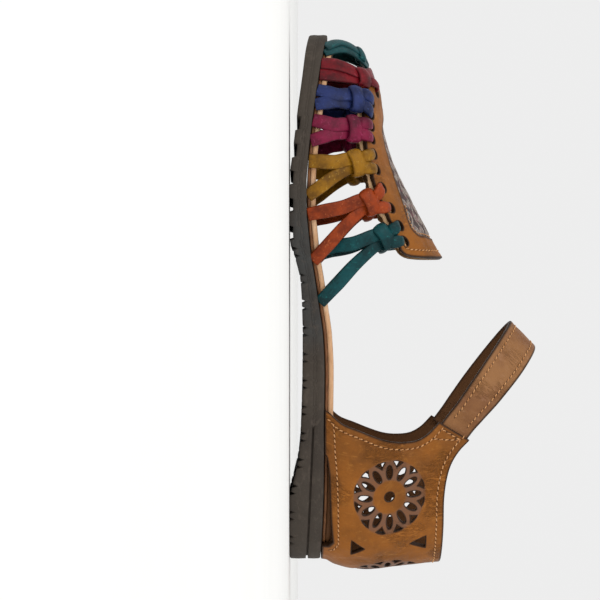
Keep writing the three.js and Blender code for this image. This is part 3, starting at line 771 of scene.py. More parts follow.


# %% [markdown]
# ## Leather
# Oiled vegetable-tanned leather has three layers of unevenness: wide clouds from the dyeing, fine
# creases that catch the light where it was bent, and pores. Cut edges are rubbed with dark wax, and
# the same dark colour paints shade along fold lines, seams and a window's edge. All of it follows
# from where a point lies and from the marks the sheet builder left: how near a cut edge or seam it
# is, which side of the leather it is on, and whether a hot tool darkened it.


# %% Smooth leathers
def leather(name, base, deep, pale, wax_and_shade, back, scorched="#7d5c45", gloss=0.46, lines=1.0):
    """Lines is how strongly creases show; back is the raw inner side; wax_and_shade colours the rubbed cut
    edges, and is also the painted shade along fold lines, seams and a window's edge.
    """
    made, start, place = new_finish(name)
    flat = start.mark("flat", "Vector")
    rim = start.mark("rim")
    skin = start.mark("skin")
    burn = start.mark("burn")
    clouds = place.noise(0.045, 4, 0.6)
    blotches = place.noise(0.21, 3, 0.6, 0.6)
    creases = flat.stretched((0.34, 0.09, 0.3)).noise(1.6, 5, 0.7, 1.4)
    fibres = flat.stretched((1.9, 0.35, 1)).noise(1.1, 3, 0.6, 0.5)
    pores = place.pores(1.6)
    colour = clouds.rise(0.36, 0.68).mix(dye(base), dye(deep))
    colour = (blotches.rise(0.54, 0.78) * 0.3).mix(colour, dye(pale))
    colour = (creases.rise(0.56, 0.7) * 0.5 * lines).mix(colour, dye(pale))
    # painted shade: thin dark lines along the folds of the creases, in the wax colour
    upper_folds = creases.rise(0.47, 0.5) * creases.rise(0.54, 0.51)
    lower_folds = creases.rise(0.39, 0.415) * creases.rise(0.45, 0.425)
    shaded_folds = (upper_folds + lower_folds) * place.noise(0.055, 2, 0.5).rise(0.5, 0.62)
    colour = (shaded_folds * 0.36 * lines).mix(colour, dye(wax_and_shade))
    colour = (fibres.rise(0.6, 0.74) * 0.35).mix(colour, dye(deep))
    colour = (burn * (0.72 + 0.28 * blotches.rise(0.3, 0.6))).mix(colour, dye(scorched))
    hidden = skin.rise(0.32, 0.12)
    colour = hidden.mix(colour, dye(back))
    # the rim mark darkens cut edges with wax, and seams and a window's edge with painted shade
    rim_darkening = (rim.rise(0.42, 0.95) * 0.86 + rim.rise(0.92, 1.0) * 0.12) * (1 - 0.35 * hidden)
    colour = rim_darkening.mix(colour, dye(wax_and_shade))
    rough = gloss + 0.16 * blotches - 0.1 * creases.rise(0.5, 0.7) + 0.25 * hidden
    height = 0.5 * creases + 0.35 * fibres + 0.25 * pores + 0.6 * blotches - 0.4 * shaded_folds
    close_finish(start, colour, rough, height, 0.16, Specular_IOR_Level=0.22)
    return made


TAN = leather(
    "tan leather", base="#955817", deep="#774612", pale="#b27630", wax_and_shade="#2b190c", back="#5a391d",
    scorched="#76523c",
)
STRAP_LEATHER = leather(
    "strap leather", base="#96683f", deep="#7b5030", pale="#b0876a", wax_and_shade="#2b190c", back="#5a391d",
    lines=0.3,
)
LINING = leather(
    "lining leather", base="#dfb88c", deep="#bf9465", pale="#efd6b4", wax_and_shade="#d8b084", back="#7a5836",
    gloss=0.7,
)
print("smooth leathers:", TAN.name, STRAP_LEATHER.name, LINING.name)


# %% [markdown]
# ## Dyed thongs
# Thong leather is soft, dyed right through in strong colours, and worn pale where it rubs. Its grain
# runs along the strip and small wrinkles cross it where it bends. One recipe with three colours each
# makes all six, so that they look like strips from the same bench.


# %% Dyed thong leather
def thong_leather(name, base, deep, pale):
    made, start, place = new_finish(name)
    flat = start.mark("flat", "Vector")
    rim = start.mark("rim")
    clouds = place.noise(0.11, 4, 0.6)
    worn = place.noise(0.5, 5, 0.68, 0.8)
    along = flat.stretched((0.22, 1.3, 1)).noise(1.2, 4, 0.65, 0.7)
    cross = flat.stretched((1.5, 0.3, 1)).noise(0.8, 4, 0.6, 0.9)
    colour = clouds.rise(0.34, 0.68).mix(dye(base), dye(deep))
    colour = (along.rise(0.52, 0.72) * 0.5).mix(colour, dye(deep))
    colour = (worn.rise(0.56, 0.72) * 0.7).mix(colour, dye(pale))
    # the sides are darker: dark-dyed edges, and painted shade between the strands and round the wraps
    colour = (rim.rise(0.5, 1.0) * 0.75).mix(colour, dye(deep))
    rough = 0.34 + 0.24 * worn - 0.08 * along
    height = 0.8 * cross + 0.5 * along + 0.4 * worn
    close_finish(start, colour, rough, height, 0.2, Specular_IOR_Level=0.2)
    return made


# name: thong_leather(name, base, deep for clouds and for the sides, which are dark-dyed and also darkened as
# painted shade, pale where it is worn)
THONG_FINISH = {
    "teal": thong_leather("teal thong", "#05474b", "#03292c", "#1f716f"),
    "red": thong_leather("red thong", "#7a0c1a", "#440710", "#9c3340"),
    "blue": thong_leather("blue thong", "#243266", "#131b3c", "#465896"),
    "magenta": thong_leather("magenta thong", "#7e123a", "#4c0822", "#ac3f6a"),
    "yellow": thong_leather("yellow thong", "#97680c", "#644106", "#c79f45"),
    "orange": thong_leather("orange thong", "#9c3d10", "#692508", "#c96d3c"),
}


print("thong colours:", list(THONG_FINISH))

# %% [markdown]
# ## Thread, inlay, insole and rubber
# The remaining finishes differ more: twisted waxed thread, leather pressed with a pattern and stained
# in patches, the raw fibres of a cut insole edge, and moulded rubber with dust in its pits. Each gets
# its own short recipe, because one that could do them all would be harder to read than the four.


# %% Thread
def thread_finish():
    made, start, _ = new_finish("stitching thread")
    twist = start.mark("flat", "Vector").stretched((2.2, 1.4, 0.7)).noise(1.0, 2)
    colour = twist.rise(0.35, 0.65).mix(dye("#d9a670"), dye("#b0733e"))
    close_finish(start, colour, 0.72, twist, 0.12)
    return made


THREAD = thread_finish()
print("made:", THREAD.name)


# %% Tooled inlay
def inlay_finish():
    made, start, place = new_finish("tooled inlay leather")
    high = start.mark("burn")
    rim = start.mark("rim")
    patches = place.noise(0.28, 4, 0.65, 0.8)
    flecks = place.noise(1.5, 4, 0.7, 0.6)
    colour = high.rise(0.1, 0.9).mix(dye("#3f2f2d"), dye("#8b7d73"))
    colour = (patches.rise(0.52, 0.66) * 0.6).mix(colour, dye("#7d4450"))
    colour = (patches.rise(0.44, 0.32) * 0.5).mix(colour, dye("#74787a"))
    colour = (flecks.rise(0.52, 0.64) * high.rise(0.3, 0.8) * 0.6).mix(colour, dye("#d9d5ce"))
    colour = (flecks.rise(0.42, 0.33) * 0.6).mix(colour, dye("#33272a"))
    colour = (rim.rise(0.5, 1.0) * 0.6).mix(colour, dye("#5a4a40"))
    close_finish(start, colour, 0.5 + 0.2 * flecks, 0.6 * flecks + 0.4 * patches, 0.15)
    return made


INLAY_FINISH = inlay_finish()
print("made:", INLAY_FINISH.name)


# %% Insole and its board
COUNTER_SHADE_START, COUNTER_SHADE_END = -52, -66  # mm along the sandal: behind these the raw edge is darkened, as painted shade under the counter and in its slot


def insole_finish():
    made, start, place = new_finish("insole leather")
    edge = start.mark("rim")
    fibres = place.stretched((0.16, 0.16, 2.6)).noise(1.1, 4, 0.65, 0.4)
    clouds = place.noise(0.06, 4, 0.6)
    pores = place.pores(1.3)
    # painted shade: the upper face's brown is darkened to stand for the shade inside the sandal
    top = clouds.rise(0.35, 0.7).mix(dye("#53351b"), dye("#3a2410"))
    raw = fibres.rise(0.35, 0.75).mix(dye("#d9ac84"), dye("#bd8d63"))
    raw = (place.noise(0.09, 3).rise(0.5, 0.62) * 0.5).mix(raw, dye("#ecc9a6"))
    along = place.parts()[0]
    # painted shade: the raw edge darkens under the counter
    raw = along.rise(COUNTER_SHADE_START, COUNTER_SHADE_END).mix(raw, dye("#5c3b20"))
    colour = edge.rise(0.3, 0.75).mix(top, raw)
    close_finish(start, colour, 0.5 + 0.2 * edge, 0.3 * fibres + 0.4 * pores, 0.12, Specular_IOR_Level=0.25)
    return made


def board_finish():
    made, start, place = new_finish("insole board leather")
    fibres = place.stretched((0.2, 0.2, 3)).noise(1.2, 4, 0.65)
    colour = fibres.rise(0.35, 0.7).mix(dye("#8d5b33"), dye("#5a3519"))
    close_finish(start, colour, 0.66, fibres, 0.12)
    return made


INSOLE_FINISH = insole_finish()
BOARD_FINISH = board_finish()
print("made:", INSOLE_FINISH.name, "and", BOARD_FINISH.name)


# %% Rubber
def rubber_finish():
    """Brown at heel and toe, cooler grey under the arch, and darkened next to the ground as painted shade.
    """
    made, start, place = new_finish("sole rubber")
    along, _, high = place.parts()
    cool = along.rise(-28, -8) * along.rise(62, 22)
    clouds = place.noise(0.05, 4, 0.6)
    smears = place.stretched((0.5, 0.5, 0.8)).noise(0.45, 4, 0.6, 0.6)
    specks = place.noise(2.4, 2, 0.5)
    colour = cool.mix(dye("#463f38"), dye("#424342"))
    colour = (clouds.rise(0.4, 0.7) * 0.6).mix(colour, dye("#38312c"))
    colour = (smears.rise(0.52, 0.7) * 0.4).mix(colour, dye("#5d534b"))
    colour = (specks.rise(0.6, 0.72) * 0.3).mix(colour, dye("#6b625a"))
    # painted shade: darker within 3.5 mm of the ground
    colour = (high.rise(3.5, 0) * 0.35).mix(colour, dye("#38322e"))
    roughness = 0.72 + 0.14 * smears
    close_finish(start, colour, roughness, 0.5 * specks + 0.3 * smears, 0.1, Specular_IOR_Level=0.2)
    return made


RUBBER = rubber_finish()
print("made:", RUBBER.name)

# %% [markdown]
# ## The rubber sole
# A moulded unit: flat blocks under the ball and the heel, an arch between them, an upturned toe and one
# fine groove round the heel. It is made like a moulding run along the outline: at each place on the
# outline the same side profile is set square to it, so the groove and the rounded edges turn the
# corner of the heel without a break.


# %% Outlines run square to their edge
def stations(inset, body, ends, extra=()):
    """Places along the plan, closer together at its round ends."""
    turn = np.linspace(0, math.pi / 2, ends)
    heel = HEEL_ROUND - (HEEL_ROUND - inset) * np.cos(turn)
    toe = SOLE_LENGTH - TOE_ROUND + (TOE_ROUND - inset) * np.cos(turn)
    middle = np.arange(HEEL_ROUND, SOLE_LENGTH - TOE_ROUND, body)
    places = np.unique(np.round(np.concatenate([heel, toe, middle]), 4))
    for x in extra:
        places = places[np.abs(places - x) > 0.16]
        places = np.append(places, x)
    return np.sort(places)


def moulding(x, inset, profile, across=6):
    """A closed solid from a side profile of (inset, z) rows, both lists along the stations x."""
    half = plan_half(x, inset)
    left = np.stack([x, sole_middle(x) + half], 1)
    right = np.stack([x, sole_middle(x) - half], 1)
    ring = np.vstack([left, right[-2:0:-1]])
    out = normals_of(ring, True)
    count = len(x)
    back = np.concatenate([[0], np.arange(len(ring) - 1, count - 1, -1), [count - 1]])
    out_left = out[:count]
    out_right = out[back]
    columns = []
    for base, way in [(left, out_left), (right, out_right)]:
        columns.append([np.column_stack([base - way * cut[:, None], z]) for cut, z in profile])
    inner, outer = columns
    share = np.linspace(0, 1, across + 1)[1:-1]
    under = [outer[0] + (inner[0] - outer[0]) * s for s in share]
    over = [inner[-1] + (outer[-1] - inner[-1]) * s for s in share]
    section = inner + over + outer[::-1] + under
    size = len(section)
    points = np.stack(section, 1).reshape(-1, 3)
    faces = []
    for i in range(count - 1):
        a = i * size
        faces += [[a + k, a + (k + 1) % size, a + size + (k + 1) % size, a + size + k] for k in range(size)]
    return points, face_out(points, faces), size


# %% The tread
# blocks under the ball of the foot
FORE_FRONT = 213.8
FORE_BACK = 148
FORE_PITCH = 12.6
FORE_BLOCK = 6.3
FORE_DEEP = 1.8
FORE_LEAN = 0.3  # half the width of a block's sloping side
# pairs of notches from the heel to the arch
NOTCH_FIRST = 9.4
NOTCH_LAST = 146
NOTCH_PITCH = 12.2
NOTCH_APART = 3.4
NOTCH_HALF = 0.9
NOTCH_DEEP = 2.0


def tread_rows():
    """How deep the tread is cut, at places from heel to toe."""
    rows = [(-1, 0), (4, 0)]
    for x in np.arange(NOTCH_FIRST, NOTCH_LAST, NOTCH_PITCH):
        for middle in (x, x + NOTCH_APART):
            rows += [(middle - NOTCH_HALF, 0), (middle, NOTCH_DEEP), (middle + NOTCH_HALF, 0)]
    gaps = []
    front = FORE_FRONT
    while front - FORE_BLOCK > FORE_BACK:
        low = front - FORE_PITCH
        high = front - FORE_BLOCK
        gaps += [(low - FORE_LEAN, 0), (low + FORE_LEAN, FORE_DEEP)]
        gaps += [(high - FORE_LEAN, FORE_DEEP), (high + FORE_LEAN, 0)]
        front -= FORE_PITCH
    return sorted(rows + [row for row in gaps if row[0] > FORE_BACK]) + [(SOLE_LENGTH + 1, 0)]


print("places where the tread changes:", len(tread_rows()))

# %% The sole
GROOVE_FRONT = 65
GROOVE_LOW = 8.2  # its height at the heel
GROOVE_RISE = 3  # how much higher it ends
GROOVE_DEEP = 1.4
NO_GROOVE = 0.55  # where the same rows lie in front of the groove, as a share of the sole's height


def outsole():
    rows = np.array(tread_rows())
    x = stations(0, 1.1, 34, rows[(rows[:, 0] > 0) & (rows[:, 0] < SOLE_LENGTH), 0])
    low = sole_tread(x) + np.interp(x, rows[:, 0], rows[:, 1])
    high = sole_top(x)
    grooved = x < GROOVE_FRONT
    rising = GROOVE_LOW + GROOVE_RISE * x / GROOVE_FRONT
    groove = np.where(grooved, rising, low + NO_GROOVE * (high - low))
    deep = np.where(grooved, GROOVE_DEEP, 0.0)
    none = np.zeros(len(x))
    profile = [
        (none + 4, low), (none + 1.5, low), (none + 0.5, low + 0.2), (none + 0.12, low + 0.7),
        (none, low + 1.4), (none - 0.1, (low + groove) / 2 + 0.3), (none, groove - 0.62),
        (none + 0.12, groove - 0.5), (deep, groove - 0.42), (deep, groove + 0.42),
        (none + 0.12, groove + 0.5), (none, groove + 0.62), (none - 0.1, (high + groove) / 2),
        (none, high - 0.9), (none + 0.15, high - 0.35), (none + 0.5, high - 0.06), (none + 1.2, high),
        (none + 4, high),
    ]
    points, faces, _ = moulding(x, 0, profile)
    return add_piece("rubber_sole", points, faces, RUBBER, "sole_rubber", ["outsole"])


outsole()

# %% [markdown]
# ## The insole
# Two layers lie on the rubber: a thin brown board, and thick leather whose raw edge is pale. They could
# be cut as flat sheets, but the sole rises at heel and toe and the leather is dished where the foot
# rests. So they are mouldings like the sole, and only points on the upper face are lowered.


# %% The two layers
TOP_ACROSS = 14  # steps across the insole's upper face
RAW_ROWS = 8  # rows of the upper layer's profile that are raw edge
DISH_DEEP = 0.9
DISH_FADE = 8  # half width of the insole at which the dish starts to run out


def insole():
    x = stations(RIM + GAP, 1.6, 30)
    none = np.zeros(len(x))
    low = sole_top(x) + GAP
    # inset, height above the rubber
    lower = [(4, 0), (0.8, 0), (0.25, 0.15), (0.05, 0.5), (0.05, 1), (0.3, 1.35), (0.9, 1.45), (4, 1.45)]
    points, faces, _ = moulding(x, RIM + GAP, [(none + cut, low + z) for cut, z in lower])
    add_piece("insole_board", points, faces, BOARD_FINISH, "insole_leather")
    upper = [
        (4, 1.5), (1.1, 1.5), (0.5, 1.55), (0.1, 1.8), (-0.05, 2.3), (-0.05, 2.9), (0.1, 3.4),
        (0.4, 3.75), (0.9, 3.95), (1.6, INSOLE), (4, 3.9),
    ]
    profile = [(none + cut, low + z) for cut, z in upper]
    points, faces, size = moulding(x, RIM + GAP, profile, TOP_ACROSS)
    rows = len(upper)
    face = slice(rows, rows + TOP_ACROSS - 1)
    far_side = slice(face.stop, face.stop + rows)
    rim = np.zeros(size)
    rim[:RAW_ROWS] = 1
    rim[RAW_ROWS] = 0.5
    rim[far_side] = rim[:rows][::-1]
    share = np.zeros(size)
    share[face] = np.sin(np.linspace(0, math.pi, TOP_ACROSS + 1)[1:-1])
    fades = np.clip(plan_half(x, RIM + GAP) / DISH_FADE, 0, 1)
    dish = (fades[:, None] * share).ravel()
    points[:, 2] -= DISH_DEEP * dish**0.7
    marks = {"rim": np.tile(rim, len(x))}
    add_piece("insole_top", points, faces, INSOLE_FINISH, "insole_leather", ["insole"], **marks)


insole()

# %% [markdown]
# ## The heel counter
# The counter is drawn flat, as the leather worker cuts it: a long band with a lug at each end for the
# strap, a slot over the heel's sides, and three rosettes punched petal by petal. The leather between
# the cuts was darkened with a hot tool. The cuts are real holes and not painted on, so that light
# falls through them and their edges show the thickness of the leather.


# %% The counter's outline
CUT_STEP = 0.8  # length of the small steps of an outline


def joined(*lines):
    """One line from several that follow each other."""
    return np.vstack([line[:-1] for line in lines[:-1]] + [lines[-1]])


def heel_line(rows):
    """A smooth side-view line, moved to the flat leather."""
    line = curve(rows, CUT_STEP)
    return np.stack([heel_along(line[:, 0], line[:, 1]), line[:, 1]], 1)


def foot_line(start, end):
    """The counter's lower edge, which follows the sole."""
    x = np.linspace(start, end, max(int(abs(end - start) / CUT_STEP), 2))
    z = sole_top(x) + GAP
    return np.stack([heel_along(x, z), z], 1)


def mirrored(line):
    return (line * (-1, 1))[::-1]


def counter_outline():
    half = joined(
        np.array([(0, 15.0), (0.4, 15.0)]),
        foot_line(2.4, 10),
        heel_line([(10, 15.4), (10, 17), (10, 19)]),
        heel_line(SLOT[::-1][1:]),
        foot_line(51.7, 72.4),
        heel_line(COUNTER_FRONT),
        heel_line([(66.6, 69.8), (62.4, 76.9), (58.2, 84)]),
        heel_line(COUNTER_TOP),
        np.array([(1.2, 71.5), (0, 71.5)]),
    )
    return even(joined(half, mirrored(half)), CUT_STEP)[:-1]


print("counter laid flat, mm:", np.round(np.ptp(counter_outline(), axis=0), 0))

# %% Rosettes and triangles
ROSETTES = (-50.2, 0, 50.2)  # places of their middles along the leather
ROSETTE_Z = 46.4
PETALS = 12
HUB = 2.1  # radius of the middle hole
PETAL_AT = 11.3  # radius at the middle of a petal
PETAL_LONG = 3.1  # half its length and half its width
PETAL_WIDE = 1.25
TIP_OUT = 16.3  # radius and half turn of the outer edge of a small triangle
TIP_TURN = 7.4
TIP_SIDES = [(15.3, 4.4), (14.4, 1.8), (13.5, 0), (14.4, -1.8), (15.3, -4.4)]  # radius, turn


def polar(middle, radius, turn):
    angle = np.radians(turn)
    return np.stack([middle[0] + radius * np.cos(angle), middle[1] + radius * np.sin(angle)], -1)


LAP = np.arange(18) * 20.0  # once round a small round cut, in degrees


def round_cut(middle, radius):
    return polar(middle, np.full(len(LAP), radius), LAP)


def rosette(middle):
    """Petals, small triangles between their tips, and the middle hole."""
    cuts = [round_cut(middle, HUB)]
    apart = 360 / PETALS
    arc = np.linspace(-TIP_TURN, TIP_TURN, 6)
    side_reach, side_turn = np.array(TIP_SIDES).T
    for k in range(PETALS):
        turn = k * apart
        reach = PETAL_AT + PETAL_LONG * np.cos(np.radians(LAP))
        lean = np.degrees(PETAL_WIDE * np.sin(np.radians(LAP)) / reach)
        cuts.append(polar(middle, reach, turn + lean))
        between = turn + apart / 2
        rim = polar(middle, np.full(len(arc), TIP_OUT), between + arc)
        cuts.append(np.vstack([rim, polar(middle, side_reach, between + side_turn)]))
    return cuts


def triangle(corners):
    pairs = zip(corners, corners[1:] + corners[:1])
    return np.vstack([even(np.array([a, b], float), CUT_STEP)[:-1] for a, b in pairs])


def counter_holes():
    cuts = []
    for middle in ROSETTES:
        cuts += rosette((middle, ROSETTE_Z))
    for side in (1, -1):
        cuts.append(triangle([(side * 30.2, 29.1), (side * 26.6, 34.8), (side * 22.2, 28.9)]))
        cuts.append(triangle([(side * 26.9, 56.4), (side * 30.0, 63.5), (side * 23.4, 63.5)]))
    return cuts


print("holes cut in the counter:", len(counter_holes()))


# %% The counter's seams and creases
def moved_in(line, by):
    return line + normals_of(line, False) * by


SEAM_IN = 3.4  # from a cut edge to its row of stitches
front_seam = moved_in(heel_line(COUNTER_FRONT[1:]), SEAM_IN)
top_seam = moved_in(heel_line(COUNTER_TOP[:-1]), SEAM_IN)
back_seam = np.array([(top_seam[-1, 0] - 1, 68.3), (0, 68.2)])
slot_seam = heel_line([(66.5, 20.4), (60, 21), (52, 21.3), (44, 22), (30, 22.6), (18, 22.8), (11, 22.9)])
slot_seam = np.vstack([slot_seam, heel_line([(10.2, 22.4), (8.4, 20.8), (7.9, 18.4)])])
lug_seam = np.array([front_seam[-3], top_seam[4]])
lug_cross = np.array([front_seam[-10], top_seam[4]])
# each crease by three places on the flat leather
COUNTER_CREASES = [
    [(54, 25.5), (57, 29), (58.5, 34)], [(41, 59), (43.5, 63), (44, 67)],
    [(33, 24.5), (36.5, 27.5), (38, 31)], [(49, 64.5), (54, 67.5), (61, 71.5)],
    [(16, 24), (18.5, 29), (18, 36)], [(22, 40), (20.5, 47), (22.5, 53)],
    [(70, 27), (69, 34), (71, 40)], [(66, 60), (63.5, 66), (66, 72)],
    [(74, 63), (66, 61.5), (57, 62.5)], [(73.5, 59), (66, 57), (60, 57.5)], [(72, 66.5), (63, 65), (56, 67)],
    [(71, 54), (66, 52.5), (61.5, 53)],
]
counter_seams = [front_seam, np.vstack([top_seam, back_seam]), slot_seam, lug_seam, lug_cross]
counter_seams = [even(line, 1.0) for line in counter_seams]
counter_seams += [mirrored(line) for line in counter_seams]
counter_creases = [curve(row, 1.0) for row in COUNTER_CREASES]
counter_creases += [mirrored(line) for line in counter_creases]
print("counter's seams, mm:", [round(float(length_along(line)[-1])) for line in counter_seams])


# %% The counter's relief
def troughs(flat, lines, deep, wide):
    """Soft troughs pressed along lines; a negative depth makes ridges."""
    return sum(-deep * np.exp(-((nearest(flat, line) / wide) ** 2)) for line in lines)


LUG_FOLD = 78  # where the lug bends outwards, measured slantwise along the leather


def counter_relief(flat):
    lift = 0.22 * ripple(flat, 26, 3) + 0.1 * ripple(flat, 9, 4)
    lift += troughs(flat, counter_seams, 0.28, 0.8)
    lift += troughs(flat, counter_creases, 0.26, 1.0)
    folded = np.abs(flat[:, 0]) + 0.55 * (flat[:, 1] - 60)
    lift += np.where(flat[:, 1] > 60, 0.35 * np.exp(-(((folded - LUG_FOLD) / 5) ** 2)), 0)
    return lift


# %% The darkened rings
BURN_IN = 7.3  # inner and outer radius
BURN_OUT = 17.0


def counter_burn(flat):
    """1 where the hot tool darkened the rosettes."""
    far = np.full(len(flat), 1e9)
    for middle in ROSETTES:
        far = np.minimum(far, np.hypot(flat[:, 0] - middle, flat[:, 1] - ROSETTE_Z))
    return np.clip((far - BURN_IN) / 0.7, 0, 1) * np.clip((BURN_OUT - far) / 0.8, 0, 1)


def rosette_guides():
    """Points that keep the edge of the darkened ring round."""
    lap = np.arange(0, 360, 6.0)
    wide = np.arange(0, 360, 2.8)
    rings = []
    for middle in ROSETTES:
        rings.append(polar((middle, ROSETTE_Z), np.full(len(lap), BURN_IN - 0.1), lap))
        rings.append(polar((middle, ROSETTE_Z), np.full(len(wide), BURN_OUT + 0.1), wide))
    return rings


# %% The counter
counter_guides = [
    np.vstack([line + normals_of(line, False) * shift for shift in (0, 0.9, -0.9)])
    for line in counter_seams + counter_creases
]
points, faces, marks = sheet(
    counter_outline(), counter_holes(), on_heel, COUNTER, 1.0, counter_relief,
    rosette_guides() + counter_guides, 0.42, counter_burn, counter_seams,
)
add_piece("heel_counter_leather", points, faces, TAN, "tan_leather", ["heel_counter"], **marks)


# %% The counter's stitches
def sheet_stitches(build, lines, place, thick, relief, **looks):
    for line in lines:
        flat = even(line, 1.0)
        base, out = on_sheet(place, flat, thick)
        stitch_row(build, base + out * relief(flat)[:, None], out, **looks)


build = Build()
sheet_stitches(build, counter_seams, on_heel, COUNTER, counter_relief)
build.piece("counter_stitches", THREAD, "thread")

# %% [markdown]
# ## The vamp panel
# The panel is a saddle of leather over the instep, with lace holes along its edge and a window. It
# could be modelled bent, but holes and stitches keep their true size only on flat leather. So the last
# is measured across with a tape at every place along it: flat places are then (x, length from the
# crest), and that length is positive on the inner side.


# %% Tape measure over the last
CREST = 86  # the row of TAPE_TURN that is 90 degrees
TAPE_X = np.arange(138, 234, 1.0)
TAPE_TURN = np.arange(4, 177, 1.0)
tape_points = off_last(TAPE_X[:, None], TAPE_TURN[None], PANEL)
tape_steps = np.linalg.norm(np.diff(tape_points, axis=1), axis=2)
tape = np.concatenate([np.zeros((len(TAPE_X), 1)), np.cumsum(tape_steps, 1)], 1)
tape = tape[:, CREST : CREST + 1] - tape
TAPE_S = np.arange(-66, 66.5, 1.0)
turn_table = np.array([np.interp(TAPE_S, tape[i, ::-1], TAPE_TURN[::-1]) for i in range(len(TAPE_X))])


def turn_of(x, s):
    """The turn round the last at a length s from the crest."""
    a = np.clip((x - TAPE_X[0]) / 1.0, 0, len(TAPE_X) - 1.001)
    b = np.clip((s - TAPE_S[0]) / 1.0, 0, len(TAPE_S) - 1.001)
    i, j = a.astype(int), b.astype(int)
    p, q = a - i, b - j
    upper = turn_table[i, j] * (1 - q) + turn_table[i, j + 1] * q
    lower = turn_table[i + 1, j] * (1 - q) + turn_table[i + 1, j + 1] * q
    return upper * (1 - p) + lower * p


def on_panel(x, s, off):
    return off_last(x, turn_of(np.asarray(x, float), np.asarray(s, float)), off)


def tape_of(x, z):
    """The length from the crest, on the inner side, at which the panel's face has height z."""
    found = []
    for one_x, one_z in zip(np.atleast_1d(x), np.atleast_1d(z)):
        i = int(np.clip(round(one_x - TAPE_X[0]), 0, len(TAPE_X) - 1))
        heights = tape_points[i, : CREST + 1, 2]
        lengths = tape[i, : CREST + 1]
        found.append(np.interp(one_z, heights, lengths) if one_z < heights[-1] else 0.0)
    return np.array(found)


print("tape from crest to edge at the ball:", np.round(tape_of([188, 150], [36.6, 51]), 1))

# %% The panel's outline
def edge_rows():
    line = curve(PANEL_EDGE, 0.5)
    s = tape_of(line[:, 0], line[:, 1])
    return np.stack([line[:, 0], s], 1)[s > 0.3]


def both_sides(line, step=CUT_STEP):
    """A closed ring from its inner half."""
    half = even(line, step)
    return np.vstack([half, (half * (1, -1))[::-1][1:-1]])


half_edge = edge_rows()
half_edge = np.vstack([[half_edge[0, 0], 0], half_edge, [half_edge[-1, 0], 0]])
panel_ring = both_sides(half_edge)
print("panel laid flat, mm:", np.round(np.ptp(panel_ring, axis=0), 0))

# %% Lace holes and window
HOLE_IN = 3.0  # from the panel's edge to the middle of a hole
HOLE_RADIUS = 2.2
RED_HOLE = (220.4, 12.5)  # x and length from the crest
# x, z of the window's edge in side view; its ends are given as x, length from the crest
WINDOW = [
    (152.8, 63.8), (153.6, 60.0), (156.6, 57.2), (161, 55.5), (167, 54.0), (176, 50.6), (185, 47.7),
    (194, 45.2), (202, 43.9),
]
WINDOW_BACK = [(151.6, 0), (151.8, 4)]
WINDOW_FRONT = [(208.5, 5.2), (212.4, 3.0), (213.6, 0)]
lower_edge = curve(PANEL_EDGE[2:12], 0.5)


def hole_middle(x, side):
    z = np.interp(-x, -lower_edge[:, 0], lower_edge[:, 1]) + HOLE_IN
    return np.array([x, side * tape_of([x], [z])[0]])


lace_holes = [hole_middle(x, side) for side in (1, -1) for row in THONGS for x in row[5]]
lace_holes += [np.array([RED_HOLE[0], side * RED_HOLE[1]]) for side in (1, -1)]
hole_rings = [round_cut(middle, HOLE_RADIUS) for middle in lace_holes]
window_rows = np.array(WINDOW)
window_sides = np.stack([window_rows[:, 0], tape_of(window_rows[:, 0], window_rows[:, 1])], 1)
window_ring = both_sides(curve(np.vstack([WINDOW_BACK, window_sides, WINDOW_FRONT]), 0.7), 0.7)
print("lace holes:", len(lace_holes))
print("window laid flat, mm:", np.round(np.ptp(window_ring, axis=0), 0))

# %% The panel's seam and creases
THROAT_FRONT = 150.5  # the seam runs along the part of the edge behind this
throat = half_edge[half_edge[:, 0] < THROAT_FRONT]
throat_seam = moved_in(even(throat, 1.0), SEAM_IN)
if throat_seam[:, 0].mean() < throat[:, 0].mean():
    throat_seam = moved_in(even(throat, 1.0), -SEAM_IN)
throat_seam = throat_seam[throat_seam[:, 1] > 0]
throat_seam = np.vstack([throat_seam, (throat_seam * (1, -1))[::-1]])
PANEL_CREASES = [
    [(146, 14), (152, 15), (158, 19)], [(166, 16), (171, 19), (173, 23)],
    [(181, 13), (186, 16.5), (187, 20)], [(198, 11), (202, 14), (203, 17)],
    [(212, 9), (215, 12), (214, 15)],
]
panel_creases = [curve(row, 1.0) for row in PANEL_CREASES]
panel_creases += [line * (1, -1) for line in panel_creases]


def panel_relief(flat):
    lift = 0.2 * ripple(flat, 22, 11) + 0.08 * ripple(flat, 8, 12)
    lift += troughs(flat, [throat_seam], 0.28, 0.8)
    lift += troughs(flat, panel_creases, 0.2, 1.1)
    lift += troughs(flat, [window_ring], -0.22, 1.4)
    return lift


print("throat seam, mm:", round(float(length_along(throat_seam)[-1]), 0))

# %% The panel and its stitches
panel_guides = [throat_seam + normals_of(throat_seam, False) * s for s in (0, 0.9, -0.9)]
panel_guides += [line + normals_of(line, False) * s for line in panel_creases for s in (0, 0.9)]
panel_cuts = hole_rings + [window_ring]
points, faces, marks = sheet(
    panel_ring, panel_cuts, on_panel, PANEL, 1.0, panel_relief, panel_guides, 0.45, None, [throat_seam],
)
add_piece("vamp_leather", points, faces, TAN, "tan_leather", ["vamp_panel"], **marks)

build = Build()
sheet_stitches(build, [throat_seam], on_panel, PANEL, panel_relief)
build.piece("throat_stitches", THREAD, "thread")

# %% [markdown]
# ## The inlay
# A strip of tooled leather shows through the panel's window. Its pattern is a plain garland: a wavy
# stem with a leaf in each bend, pressed down all round so that it stands out. A bump in the finish
# would look right from above but flat at a low angle, so the pattern is real relief on a fine mesh.


# %% The tooled strip
GARLAND_ROWS = (-16.8, -11.2, -5.6, 0.0, 5.6, 11.2, 16.8)  # lengths from the crest
GARLAND_WAVE = 13.0  # length of one wave of a stem
STEM_SWAY = 1.5
STEM_HALF = 0.55
INLAY_UNDER = 1.4  # how far the strip reaches under the panel round the window


